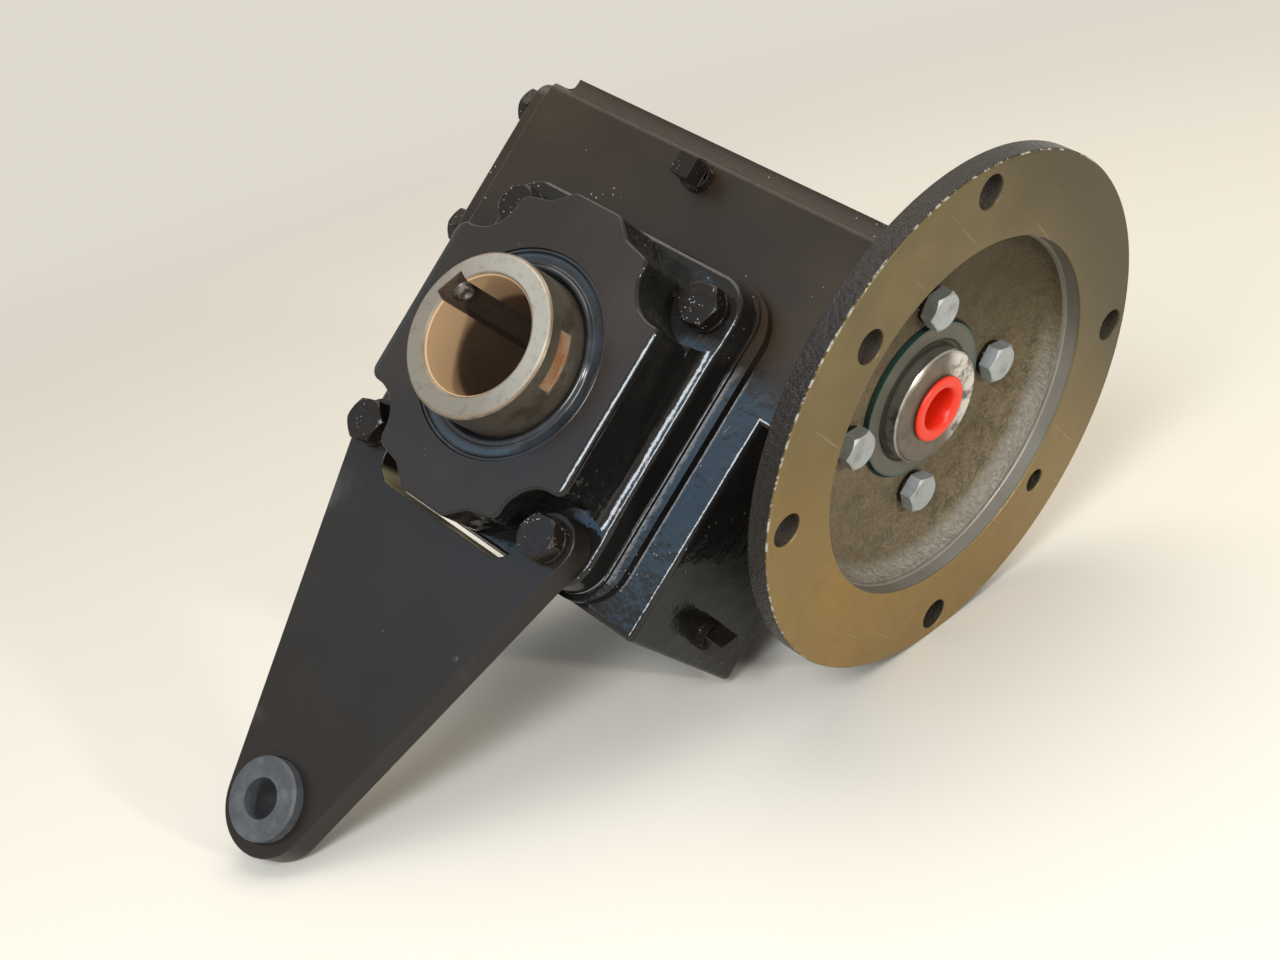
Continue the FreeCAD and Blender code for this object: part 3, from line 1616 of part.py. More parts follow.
def torque_arm():
    reach = size.arm_length - size.cover_bolt_z
    spread = size.cover_bolt_x
    run = math.hypot(reach.value, spread.value)
    swing = math.atan2(spread.value, reach.value)
    swing += math.asin((size.arm_ear_radius.value - size.arm_end_radius.value) / run)
    # The plate's side is tangent to the ear and to the round end
    side_x = math.cos(swing)
    side_z = math.sin(swing)
    plate = padded(
        [
            (-size.cover_bolt_x - size.arm_ear_radius * side_x, -size.cover_bolt_z - size.arm_ear_radius * side_z),
            (-size.arm_end_radius * side_x, -size.arm_length - size.arm_end_radius * side_z),
            (size.arm_end_radius * side_x, -size.arm_length - size.arm_end_radius * side_z),
            (size.cover_bolt_x + size.arm_ear_radius * side_x, -size.cover_bolt_z - size.arm_ear_radius * side_z),
            (size.cover_bolt_x, -size.cover_bolt_z),
            (-size.cover_bolt_x, -size.cover_bolt_z),
        ],
        arm_back,
        size.arm_thickness,
    )
    pieces = [
        plate,
        cylinder(size.arm_end_radius, size.arm_thickness, y=-size.arm_length, z=arm_back),
    ]
    tools = [cylinder(size.bush_radius, arm_front, y=-size.arm_length, z=arm_back - 1)]
    for sign in (-1, 1):
        x = size.cover_bolt_x * sign
        pieces.append(cylinder(size.arm_ear_radius, size.arm_thickness, x=x, y=-size.cover_bolt_z, z=arm_back))
        tools.append(cylinder(size.bolt_hole_radius, arm_front, x=x, y=-size.cover_bolt_z, z=arm_back - 1))
    notch_half = size.cover_bolt_x - size.arm_ear_radius
    notch = round_upright_edges(
        padded(
            [
                (-notch_half, -size.arm_notch_floor),
                (notch_half, -size.arm_notch_floor),
                (notch_half, NOTHING),
                (-notch_half, NOTHING),
            ],
            arm_back - 1,
            size.arm_thickness + 2,
        ),
        size.arm_notch_corner,
    )
    return place(cut(fuse(pieces), fuse(tools + [notch])), TO_FRONT)


def arm_bush():
    ring = turned(
        [
            (size.bush_bore_radius, arm_back - size.bush_overhang),
            (size.bush_radius - 0.8, arm_back - size.bush_overhang),
            (size.bush_radius, arm_back - size.bush_overhang + 0.8),
            (size.bush_radius, arm_front + size.bush_overhang - 0.8),
            (size.bush_radius - 0.8, arm_front + size.bush_overhang),
            (size.bush_bore_radius, arm_front + size.bush_overhang),
        ]
    )
    return place(ring, TO_FRONT, z=-size.arm_length)


subpart("torque_arm", torque_arm())
subpart("arm_bush", arm_bush())

# Check every object and every sub-part, then write the sub-parts

doc.recompute()
for thing in doc.Objects:
    if "Invalid" in thing.State or "Error" in thing.State:
        raise RuntimeError("%s (%s) did not build: %s" % (thing.Name, thing.Label, thing.State))
for thing in subparts:
    if thing.Shape.isNull() or not thing.Shape.isValid():
        raise RuntimeError("%s has no valid shape" % thing.Label)
os.makedirs("parts", exist_ok=True)
for thing in subparts:
    thing.Shape.exportStep("parts/%s.step" % thing.Label)
    print("%-28s solids %2d  volume %10.1f" % (thing.Label, len(thing.Shape.Solids), thing.Shape.Volume))
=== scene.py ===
import math

import bmesh
import bpy
from mathutils import Matrix, Vector


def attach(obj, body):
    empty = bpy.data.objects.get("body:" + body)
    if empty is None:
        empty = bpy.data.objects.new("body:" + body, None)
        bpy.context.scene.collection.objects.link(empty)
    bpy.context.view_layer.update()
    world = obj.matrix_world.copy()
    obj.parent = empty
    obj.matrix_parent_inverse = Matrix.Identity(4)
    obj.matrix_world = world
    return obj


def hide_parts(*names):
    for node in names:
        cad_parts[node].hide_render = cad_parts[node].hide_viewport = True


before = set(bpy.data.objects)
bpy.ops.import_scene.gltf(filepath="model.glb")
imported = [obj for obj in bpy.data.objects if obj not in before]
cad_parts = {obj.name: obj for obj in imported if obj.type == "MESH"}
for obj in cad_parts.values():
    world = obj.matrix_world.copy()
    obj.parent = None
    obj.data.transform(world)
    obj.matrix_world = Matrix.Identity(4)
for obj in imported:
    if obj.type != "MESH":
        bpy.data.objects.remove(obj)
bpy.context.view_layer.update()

# Bodies of the frame that carry the new pieces
CASE = "reducer_case"
OUTPUT = "output_group"
WORM = "worm_group"

# The reducer lies on its rear cover, the flange's rim and the tip of the torque arm.
UP = Vector((-0.352, -0.677, 0.646)).normalized()
ARM_TIP = Vector((0.0086, -0.0450, -0.1676))
MIDDLE = Vector((0.030, -0.010, 0.010))

# The camera, as found from the photograph
CAMERA_PLACE = Vector((0.364394, -0.504201, 0.005550))
CAMERA_RIGHT = Vector((0.69783, 0.49834, 0.51449))
CAMERA_DOWN = Vector((0.43952, 0.26924, -0.85693))
SIGHT = Vector((-0.56556, 0.82412, -0.03115))
LENS = 54.39
SENSOR_WIDTH = 36.0

# The floor's two directions: away from the camera, and across its view
AWAY = (SIGHT - UP * SIGHT.dot(UP)).normalized()
ACROSS = AWAY.cross(UP)

# Name, place from the middle (across, away, up), size, watts and colour of each lamp
LAMPS = [
    ("overhead", (0.25, 0.25, 1.30), (1.2, 1.2), 12.0, (1.0, 0.93, 0.82)),
    ("window", (-0.38, -1.09, 0.80), (0.48, 0.48), 17.0, (0.90, 0.95, 1.0)),
    ("sky", (-0.80, -0.44, 0.965), (0.98, 0.27), 1.8, (0.16, 0.56, 1.0)),
    ("doorway", (0.80, -1.25, 0.30), (0.09, 0.09), 12.0, (1.0, 0.96, 0.90)),
]
ROOM_COLOUR = (1.0, 0.96, 0.90)
ROOM_LIGHT = 0.45
BACKDROP = (0.74, 0.70, 0.63)
FLOOR_COLOUR = (0.70, 0.66, 0.585)
FLOOR_HALF_SIZE = 4.0
FLOOR_FADES_FROM = 0.45
FLOOR_GONE_BY = 1.10

MM = 0.001

# Sizes of the solids in metres, where the finishes change. Along Y, from the mid-plane:
EAR_FACE = 0.0450
ARM_FRONT = 0.0545
BOSS_FACE = 0.0656
SET_SCREW_PLACE = 0.0742
SHAFT_END = 0.0822
# Round the output axis:
BORE_RADIUS = 0.0183
KEYWAY_FLOOR = 0.0216
SLOT_FLOOR = 0.0233
SHAFT_RADIUS = 0.0254
# Along X and Z, from the output axis:
BOSS_EDGE = 0.0406  # where the boss's face starts to round off
COVER_STRAIGHT = 0.0340  # where the cover's straight sides end
NOTCH_HALF_WIDTH = 0.0300
NOTCH_FLOOR = -0.0536
BLOCK_FOOT = 0.0196  # lower edge of the worm block
WORM_HEIGHT = 0.0508
# Along X, on the motor side:
DISH_FLOOR = 0.0889
QUILL_END = 0.0955
RIM_BACK = 0.0971
PILOT_FLOOR = 0.0993
MOTOR_FACE = 0.1043
# Round the worm axis:
PLUG_NECK = 0.0078  # the plug, where it enters the motor bore
QUILL_RADIUS = 0.0183
INPUT_SEAL_RADIUS = 0.0250
DIP_PLACE = 0.0390  # middle of the cast dips in the dish
PILOT_RADIUS = 0.0572
FLANGE_RADIUS = 0.0825

KEYWAY_ANGLE = math.radians(154.8)

# Leans of the cast faces, as a rise over their run
STRIP_LEAN = 0.20
RIM_LEAN = 0.27
# How fast the boss's soft edge falls away, per metre
BOSS_EDGE_CURVE = 140.0
# The cone of the motor flange's back: its radius grows by CONE_LEAN along X, from CONE_START
CONE_LEAN = 1.375
CONE_START = -0.0724
# Lathe lines on the motor face, in radians per metre of radius
LATHE_LINES = 12000.0

# The output seal's section: a raised outer ring, a flat band, a raised lip, and the lip's cone.
# Each section gives millimetres from the axis and along it.
SEAL_SECTION = [
    (33.08, 57.62), (33.08, 64.90), (33.0, 65.15), (32.7, 65.30), (32.2, 65.30), (31.9, 65.05),
    (31.75, 64.55), (31.5, 64.45), (28.9, 64.45), (28.6, 64.55), (28.3, 65.20), (28.0, 65.55),
    (27.5, 65.75), (27.0, 65.65), (26.6, 65.20), (26.2, 64.30), (25.6, 63.40), (25.47, 62.90),
    (25.52, 62.40), (27.0, 61.80), (30.9, 61.60), (31.1, 61.40), (31.1, 57.62),
]

# The shipping plug's section: a cup with a floor and a soft rolled rim.
PLUG_SECTION = [
    (0.0, 80.6), (3.0, 80.6), (7.5, 80.6), (7.85, 81.0), (7.9, 88.0), (7.9, 95.2), (8.1, 95.6),
    (9.8, 95.6), (10.5, 95.85), (10.6, 96.3), (10.45, 96.85), (9.8, 97.1), (8.2, 97.1),
    (7.0, 96.85), (6.5, 96.2), (6.1, 92.0), (5.5, 84.0), (5.2, 82.6), (2.6, 82.4), (0.0, 82.4),
]

# A set screw's section, from its cup point to its socket.
SCREW_SECTION = [
    (0.0, 20.9), (0.9, 20.8), (1.5, 19.9), (2.0, 19.6), (2.5, 19.7), (3.2, 20.6), (3.85, 21.3),
    (3.9, 21.8), (3.9, 24.4), (3.7, 24.6), (2.3, 24.6), (2.1, 24.4), (2.0, 22.9), (1.9, 22.8),
    (0.0, 22.5),
]

RING_STEPS = 72
SCREW_STEPS = 36

# Nodes shown with rounded edges, their body, and the rounding in metres
ROUNDED = [
    ("torque_arm", CASE, 0.0005),
    ("motor_flange", CASE, 0.0004),
    ("output_shaft", OUTPUT, 0.0002),
    ("housing", CASE, 0.0011),
    ("front_output_cover", CASE, 0.0013),
    ("rear_output_cover", CASE, 0.0013),
    ("worm_end_cover", CASE, 0.0004),
    ("cover_bolts", CASE, 0.0003),
    ("torque_arm_bolts", CASE, 0.0003),
    ("end_cover_bolts", CASE, 0.0003),
    ("motor_flange_bolts", CASE, 0.0003),
    ("pipe_plugs", CASE, 0.0004),
    ("lock_washers", CASE, 0.0003),
]
SAME_PLACE = 0.000002
LEVEL_ANGLE = math.radians(0.6)
EDGE_ANGLE = math.radians(30.0)


def set_camera():
    data = bpy.data.cameras.new("camera")
    data.lens = LENS
    data.sensor_width = SENSOR_WIDTH
    camera = bpy.data.objects.new("camera", data)
    turn = Matrix((CAMERA_RIGHT, -CAMERA_DOWN, -SIGHT)).transposed().to_4x4()
    camera.matrix_world = Matrix.Translation(CAMERA_PLACE) @ turn
    bpy.context.scene.collection.objects.link(camera)
    bpy.context.scene.camera = camera


def set_lamp(name, spot, size, power, colour):
    """A rectangle of light that faces the middle, with its long sides level."""
    data = bpy.data.lights.new(name, "AREA")
    data.shape = "RECTANGLE"
    data.size, data.size_y = size
    data.energy = power
    data.color = colour
    lamp = bpy.data.objects.new(name, data)
    place = MIDDLE + ACROSS * spot[0] + AWAY * spot[1] + UP * spot[2]
    back = (place - MIDDLE).normalized()
    level = UP.cross(back).normalized()
    turn = Matrix((level, back.cross(level), back)).transposed().to_4x4()
    lamp.matrix_world = Matrix.Translation(place) @ turn
    bpy.context.scene.collection.objects.link(lamp)


def set_world():
    """Even light from the room. The eye, mirrors and glass see the backdrop instead."""
    world = bpy.data.worlds.new("studio")
    bpy.context.scene.world = world
    world.use_nodes = True
    tree = world.node_tree
    light = tree.nodes["Background"]
    light.inputs["Color"].default_value = (*ROOM_COLOUR, 1.0)
    light.inputs["Strength"].default_value = ROOM_LIGHT
    backdrop = tree.nodes.new("ShaderNodeBackground")
    backdrop.inputs["Color"].default_value = (*BACKDROP, 1.0)
    path = tree.nodes.new("ShaderNodeLightPath")
    sees_backdrop = path.outputs["Is Camera Ray"]
    for ray in ("Is Glossy Ray", "Is Transmission Ray"):
        either = tree.nodes.new("ShaderNodeMath")
        either.operation = "MAXIMUM"
        tree.links.new(sees_backdrop, either.inputs[0])
        tree.links.new(path.outputs[ray], either.inputs[1])
        sees_backdrop = either.outputs[0]
    mix = tree.nodes.new("ShaderNodeMixShader")
    tree.links.new(sees_backdrop, mix.inputs[0])
    tree.links.new(light.outputs[0], mix.inputs[1])
    tree.links.new(backdrop.outputs[0], mix.inputs[2])
    tree.links.new(mix.outputs[0], tree.nodes["World Output"].inputs["Surface"])


def set_floor():
    bm = bmesh.new()
    bmesh.ops.create_grid(bm, x_segments=4, y_segments=4, size=FLOOR_HALF_SIZE)
    lay = Matrix((ACROSS, AWAY, UP)).transposed().to_4x4()
    bmesh.ops.transform(bm, matrix=Matrix.Translation(ARM_TIP) @ lay, verts=bm.verts)
    floor = mesh_object("floor", bm, floor_finish())


class Reading:
    """A number, colour or normal read over a surface. Arithmetic on readings adds Math nodes."""

    def __init__(self, owner, socket):
        self.owner = owner
        self.socket = socket

    def work(self, operation, first, second):
        return self.owner.node("ShaderNodeMath", {"operation": operation}, {0: first, 1: second})

    def __add__(self, other):
        return self.work("ADD", self, other)

    def __radd__(self, other):
        return self.work("ADD", other, self)

    def __sub__(self, other):
        return self.work("SUBTRACT", self, other)

    def __rsub__(self, other):
        return self.work("SUBTRACT", other, self)

    def __mul__(self, other):
        return self.work("MULTIPLY", self, other)

    def __pow__(self, other):
        return self.work("POWER", self, other)

    def most(self, other):
        return self.work("MAXIMUM", self, other)


class Finish:
    """One material, worked out from readings of the surface."""

    def __init__(self, name):
        self.material = bpy.data.materials.new(name)
        self.material.use_nodes = True
        self.tree = self.material.node_tree
        self.shader = self.tree.nodes["Principled BSDF"]
        self.place = self.node("ShaderNodeTexCoord", {}, {}, "Object")

    def node(self, kind, settings, inputs, output=0):
        made = self.tree.nodes.new(kind)
        for key, setting in settings.items():
            setattr(made, key, setting)
        for key, value in inputs.items():
            self.feed(made.inputs[key], value)
        return Reading(self, made.outputs[output])

    def feed(self, socket, value):
        if isinstance(value, Reading):
            self.tree.links.new(value.socket, socket)
        elif socket.type == "RGBA" and len(value) == 3:
            socket.default_value = (*value, 1.0)
        else:
            socket.default_value = value

    def grain(self, scale, detail=3.0, rough=0.5, place=None, twist=0.0):
        """Cloudy noise from 0 to 1, with its scale per metre."""
        inputs = {"Vector": place or self.place, "Scale": scale, "Detail": detail}
        inputs.update({"Roughness": rough, "Distortion": twist})
        return self.node("ShaderNodeTexNoise", {}, inputs, "Fac")

    def streaks(self, stretch, twist=0.0):
        """Noise with its own scale along X, Y and Z."""
        place = self.node("ShaderNodeMapping", {}, {"Vector": self.place, "Scale": stretch})
        return self.grain(1.0, 2, 0.5, place, twist)

    def cells(self, scale):
        """Distance from the nearest of many scattered points."""
        inputs = {"Vector": self.place, "Scale": scale}
        return self.node("ShaderNodeTexVoronoi", {"feature": "F1"}, inputs, "Distance")

    def rise(self, value, low, high):
        """0 below low, 1 above high, and a soft step between them; low may be the greater one."""
        settings = {"interpolation_type": "SMOOTHSTEP", "clamp": True}
        inputs = {"Value": value, "From Min": low, "From Max": high}
        return self.node("ShaderNodeMapRange", settings, inputs)

    def beside(self, value, edge, low, high):
        """A rise, with low and high in millimetres from edge, which is in metres."""
        return self.rise(value, edge + low * MM, edge + high * MM)

    def blend(self, mask, colour, other):
        """The first colour where the mask is 0, the other where it is 1."""
        return self.node("ShaderNodeMix", {"data_type": "RGBA"}, {0: mask, 6: colour, 7: other}, 2)

    def along(self, axis):
        return self.node("ShaderNodeSeparateXYZ", {}, {0: self.place}, axis)

    def size_of(self, value):
        return self.node("ShaderNodeMath", {"operation": "ABSOLUTE"}, {0: value})

    def distance(self, axis):
        return self.size_of(self.along(axis))

    def from_output_axis(self):
        x, z = self.along("X"), self.along("Z")
        return (x * x + z * z) ** 0.5

    def from_worm_axis(self):
        y, z = self.along("Y"), self.along("Z") - WORM_HEIGHT
        return (y * y + z * z) ** 0.5

    def relief(self, height, depth, strength=1.0, under=None):
        """A normal for a height from 0 to 1 that stands for a depth in metres."""
        inputs = {"Height": height, "Distance": depth, "Strength": strength}
        if under:
            inputs["Normal"] = under
        return self.node("ShaderNodeBump", {}, inputs)

    def finish(self, colour, roughness, normal=None, metallic=0.0, specular=0.5):
        values = {"Base Color": colour, "Roughness": roughness, "Metallic": metallic}
        values["Specular IOR Level"] = specular
        if normal:
            values["Normal"] = normal
        for socket, value in values.items():
            self.feed(self.shader.inputs[socket], value)
        return self.material


def enamelled(f, satin, form, worn, dusty, pooled=0.0):
    """Black enamel over a casting: wet and rippled where satin is 0, flat where it is 1.

    form is the normal under the paint, worn and dusty are the satin paint's two colours,
    and pooled says where the wet paint ripples more.
    """
    dust = f.rise(f.grain(14, 5, 0.6), 0.42, 0.72)
    # On the cast enamel these are pale dust flecks in the paint.
    specks_and_glints = f.rise(f.cells(420), 0.13, 0.07) * f.rise(f.grain(60, 2), 0.58, 0.66)
    wet_paint = f.blend(dust, (0.0070, 0.0068, 0.0068), (0.0170, 0.0155, 0.0135))
    paint = f.blend(satin, wet_paint, f.blend(dust, worn, dusty))
    colour = f.blend(specks_and_glints, paint, (0.34, 0.33, 0.30))
    wet = 1 - satin
    roughness = satin * 0.22 + f.grain(30, 4, 0.6) * 0.12 + 0.07 + specks_and_glints * 0.3
    ripple = f.relief(f.grain(150, 2, 0.5) * wet * (pooled + 1.0), 0.00060, 0.5, form)
    sand = f.grain(260, 4, 0.6) * (wet * 0.8 + 0.2)
    cast = f.relief(sand, 0.00018, 0.6, ripple)
    peel = f.relief(f.grain(800, 2, 0.5), 0.00008, 0.6, cast)
    return f.finish(colour, roughness, peel, specular=0.39)


def case_enamel():
    """Satin on the worm block, wet below it, where the cast strips lean outwards."""
    f = Finish("case_enamel")
    height = f.along("Z")
    satin = f.beside(height, BLOCK_FOOT, 2.4, 20.4)
    strips = f.beside(height, BLOCK_FOOT, 14.4, 6.4)
    leaning = f.relief(f.distance("X") * -STRIP_LEAN, 1.0, strips)
    worn, dusty = (0.0145, 0.0082, 0.0030), (0.030, 0.0172, 0.0066)
    return enamelled(f, satin, leaning, worn, dusty)


def cover_enamel():
    """The boss's face is satin up to its soft edges; the flange's rim leans outwards."""
    f = Finish("cover_enamel")
    aside, deep = f.distance("X"), f.distance("Y")
    satin = f.beside(deep, BOSS_FACE, -0.15, -0.02) * f.beside(aside, BOSS_EDGE, 1.0, 0.3)
    rim = f.beside(deep, EAR_FACE, 5.0, 2.0) * f.beside(f.distance("Z"), COVER_STRAIGHT, 0.0, -6.0)
    leaning = f.relief(aside * -RIM_LEAN, 1.0, rim)
    over = (aside - BOSS_EDGE).most(0.0)
    near_face = f.beside(deep, BOSS_FACE, -2.6, -1.6)
    soft_edge = f.relief(over * over * -BOSS_EDGE_CURVE, 1.0, near_face, leaning)
    pooled = f.beside(deep, EAR_FACE, 0.5, 2.5) * f.beside(deep, BOSS_FACE, -0.6, -1.6) * 3.0
    worn, dusty = (0.0130, 0.0082, 0.0056), (0.028, 0.0180, 0.0115)
    return enamelled(f, satin, soft_edge, worn, dusty, pooled)


def arm_enamel():
    """Satin black on flat bar, with rubbed grey smudges, small chips and a cream line along the
    notch edge.
    """
    f = Finish("arm_enamel")
    clouds = f.grain(22, 5, 0.6)
    smudge = f.rise(f.grain(34, 3, 0.5), 0.60, 0.74)
    scuffs = f.rise(f.grain(160, 3, 0.7), 0.66, 0.72) * f.rise(f.grain(18, 2), 0.52, 0.62)
    # A thin cream line along the notch's edge on the arm's front.
    cream_edge = f.beside(f.along("Z"), NOTCH_FLOOR, -0.4, -0.1)
    cream_edge = cream_edge * f.beside(f.distance("X"), NOTCH_HALF_WIDTH, 0.0, -2.0)
    cream_edge = cream_edge * f.beside(f.distance("Y"), ARM_FRONT, 0.0, -0.4)
    colour = f.blend(clouds, (0.0075, 0.0056, 0.0044), (0.0150, 0.0115, 0.0090))
    colour = f.blend(smudge * 0.45, colour, (0.075, 0.070, 0.068))
    colour = f.blend(scuffs * 0.7, colour, (0.16, 0.15, 0.14))
    colour = f.blend(cream_edge, colour, (0.43, 0.35, 0.20))
    roughness = f.grain(40, 3) * 0.2 + 0.24
    waves = f.relief(f.grain(60, 3), 0.0002, 0.3)
    peel = f.relief(f.grain(700, 3, 0.6), 0.00005, 0.6, waves)
    return f.finish(colour, roughness, peel, specular=0.34)


def bolt_enamel():
    """Black enamel over the bolt heads, wet looking, with pale flecks painted in as glints."""
    f = Finish("bolt_enamel")
    # Painted glints: pale flecks stand for the white glints on the wet heads.
    specks_and_glints = f.rise(f.cells(900), 0.19, 0.10) * f.rise(f.grain(150, 2), 0.50, 0.60)
    colour = f.blend(specks_and_glints, (0.0120, 0.0085, 0.0062), (0.50, 0.50, 0.48))
    roughness = f.grain(160, 3) * 0.2 + 0.16 + specks_and_glints * 0.4
    drips = f.relief(f.grain(260, 3, 0.6), 0.0005, 0.6)
    peel = f.relief(f.grain(1100, 2), 0.00007, 0.6, drips)
    return f.finish(colour, roughness, peel, specular=0.22)


def dish_bolt_steel():
    """Plain zinc plated bolts, dull grey with a blue tinge and faint stains."""
    f = Finish("dish_bolt_steel")
    stain = f.rise(f.grain(150, 4, 0.6), 0.45, 0.75)
    colour = f.blend(stain, (0.37, 0.40, 0.41), (0.25, 0.25, 0.23))
    roughness = f.grain(300, 3) * 0.2 + 0.38
    pitted = f.relief(f.grain(1100, 2), 0.00005, 0.6)
    return f.finish(colour, roughness, pitted, metallic=0.55)


def gasket_card():
    """Grey card, mostly hidden under overspray."""
    f = Finish("gasket_card")
    overspray = f.rise(f.grain(90, 4, 0.6), 0.62, 0.50)
    colour = f.blend(overspray, (0.20, 0.21, 0.21), (0.020, 0.019, 0.018))
    roughness = f.grain(500, 3) * 0.2 + 0.45
    return f.finish(colour, roughness, f.relief(f.grain(1500, 2), 0.00005, 0.5))


def seal_rubber():
    """Moulded rubber, black, with a faint blue bloom."""
    f = Finish("seal_rubber")
    bloom = f.rise(f.grain(60, 4, 0.6), 0.45, 0.75)
    colour = f.blend(bloom, (0.012, 0.014, 0.017), (0.031, 0.037, 0.047))
    roughness = f.grain(200, 3) * 0.12 + 0.13
    return f.finish(colour, roughness, f.relief(f.grain(900, 2), 0.00004, 0.5))


def input_rubber():
    """Green-grey rubber, with a teal line round its outer edge."""
    f = Finish("input_rubber")
    teal = f.beside(f.from_worm_axis(), INPUT_SEAL_RADIUS, -0.8, -0.3)
    colour = f.blend(f.grain(120, 4), (0.058, 0.056, 0.042), (0.095, 0.091, 0.069))
    colour = f.blend(teal * 0.85, colour, (0.012, 0.060, 0.045))
    return f.finish(colour, 0.46, f.relief(f.grain(800, 2), 0.00006, 0.5))


def bush_rubber():
    """Dusty grey rubber."""
    f = Finish("bush_rubber")
    dust = f.rise(f.grain(160, 5, 0.7), 0.40, 0.75)
    colour = f.blend(dust, (0.037, 0.041, 0.047), (0.080, 0.085, 0.094))
    return f.finish(colour, 0.55, f.relief(f.grain(1200, 3), 0.00008, 0.6))


def shaft_steel():
    """Turned steel kept in the open: stained ends, and rust in the bore, keyway and slot."""
    f = Finish("shaft_steel")
    radius = f.from_output_axis()
    reach = f.distance("Y")
    ends = f.beside(reach, SHAFT_END, -0.6, -0.2)
    inside = f.beside(radius, BORE_RADIUS, 1.5, 0.3)
    bore = inside * (1 - ends)
    keyway = f.beside(radius, BORE_RADIUS, 0.2, 0.6) * f.beside(radius, KEYWAY_FLOOR, 1.6, 1.0)
    keyway = keyway * (1 - ends)
    slot = f.beside(radius, SHAFT_RADIUS, -0.35, -0.65) * f.beside(radius, SLOT_FLOOR, -0.7, -0.3)
    slot = slot * (1 - ends)
    blotch = f.rise(f.grain(120, 5, 0.65), 0.45, 0.68)
    fine = f.rise(f.grain(420, 4, 0.7), 0.50, 0.72)
    steel = f.blend(blotch, (0.20, 0.170, 0.130), (0.105, 0.084, 0.060))
    face = f.blend(fine * 0.8, (0.215, 0.183, 0.143), (0.145, 0.108, 0.075))
    face = f.blend(blotch * 0.6, face, (0.215, 0.172, 0.125))
    # The end face turns lighter towards +X and +Z.
    lighter_side = f.beside(f.along("X") * 0.6 + f.along("Z") * 0.8, 0.0, -12.0, 20.0)
    face = f.blend(lighter_side * (0.88 - fine * 0.40), face, (0.37, 0.335, 0.28))
    rust = f.blend(f.grain(200, 5, 0.7), (0.12, 0.068, 0.037), (0.062, 0.035, 0.019))
    # Painted light: the rust turns a lighter brown at the bore's mouth, as deep as light falls into
    # the bore; the rust itself is real.
    lit_bore_mouth = f.beside(reach, SHAFT_END, -18.7, -14.7)
    rust = f.blend(lit_bore_mouth, rust, (0.40, 0.265, 0.145))
    dark_rust = f.blend(fine, (0.075, 0.050, 0.034), (0.040, 0.028, 0.020))
    flakes = f.rise(f.grain(240, 4, 0.6), 0.42, 0.58)
    bright_rust = f.blend(flakes, (0.25, 0.115, 0.042), (0.24, 0.170, 0.110))
    colour = f.blend(ends * (1 - inside), steel, face)
    colour = f.blend(bore, colour, rust)
    colour = f.blend(keyway, colour, dark_rust)
    colour = f.blend(slot, colour, bright_rust)
    rusty = bore.most(slot).most(keyway)
    pitted = f.relief(f.grain(700, 4, 0.7), 0.00008, 0.6)
    turned = f.relief(f.streaks((300.0, 6000.0, 300.0)), 0.00003, 0.35, pitted)
    metallic = 0.75 - rusty * 0.7 - ends * 0.25
    roughness = 0.30 + rusty * 0.35 + blotch * 0.12 + ends * 0.06
    return f.finish(colour, roughness, turned, metallic=metallic)


def screw_steel():
    """Oiled black steel, gone brown."""
    f = Finish("screw_steel")
    stain = f.rise(f.grain(500, 4), 0.45, 0.6)
    colour = f.blend(stain, (0.13, 0.115, 0.10), (0.060, 0.045, 0.034))
    return f.finish(colour, 0.42, f.relief(f.grain(900, 3), 0.0001, 0.6), metallic=0.5)


def worm_steel():
    """Ground steel: dark streaks round the quill, and a brown-grey end with one bright side."""
    f = Finish("worm_steel")
    stain = f.rise(f.grain(130, 4, 0.6), 0.48, 0.72)
    end = f.beside(f.along("X"), QUILL_END, -0.7, -0.4)
    end_ring = end * f.beside(f.from_worm_axis(), QUILL_RADIUS, -0.2, -0.6)
    one_side = f.along("Y") * 0.75 + (f.along("Z") - WORM_HEIGHT)
    bright = f.beside(one_side, 0.0, 4.0, 13.0) * f.rise(f.grain(160, 4, 0.6), 0.38, 0.56)
    brown_spots = f.rise(f.grain(200, 4, 0.6), 0.40, 0.75)
    colour = f.blend(stain, (0.40, 0.39, 0.37), (0.13, 0.11, 0.090))
    brown = f.blend(brown_spots, (0.150, 0.128, 0.100), (0.105, 0.086, 0.064))
    brown = f.blend(bright, brown, (0.62, 0.60, 0.56))
    colour = f.blend(end_ring, colour, brown)
    roughness = f.grain(260, 3) * 0.18 + 0.16 + end * 0.18
    turned = f.relief(f.streaks((9000.0, 250.0, 250.0)), 0.00003, 0.4)
    return f.finish(colour, roughness, turned, metallic=0.95 - end * 0.35)


def bright_steel(name, colour, dull):
    """Clean machined steel; dull is its least roughness."""
    f = Finish(name)
    shade = f.blend(f.grain(90, 3), colour, tuple(0.7 * c for c in colour))
    roughness = f.grain(200, 2) * 0.12 + dull
    return f.finish(shade, roughness, f.relief(f.grain(1500, 2), 0.00003, 0.4), metallic=1.0)


def gear_bronze():
    f = Finish("gear_bronze")
    colour = f.blend(f.grain(70, 4), (0.60, 0.36, 0.13), (0.42, 0.24, 0.09))
    roughness = f.grain(180, 3) * 0.2 + 0.2
    return f.finish(colour, roughness, f.relief(f.grain(900, 3), 0.00005, 0.5), metallic=1.0)


def red_plug():
    """Thin moulded shipping plug, orange red, with painted shade inside its cup."""
    f = Finish("red_plug")
    # Painted shade: the inside of the cup is a darker red.
    deep = f.beside(f.from_worm_axis(), PLUG_NECK, 0.0, -1.0)
    colour = f.blend(f.grain(140, 3), (0.70, 0.028, 0.005), (0.62, 0.022, 0.004))
    colour = f.blend(deep * 0.6, colour, (0.62, 0.014, 0.004))
    roughness = f.grain(300, 2) * 0.08 + 0.30
    return f.finish(colour, roughness, f.relief(f.grain(700, 2), 0.00004, 0.4))


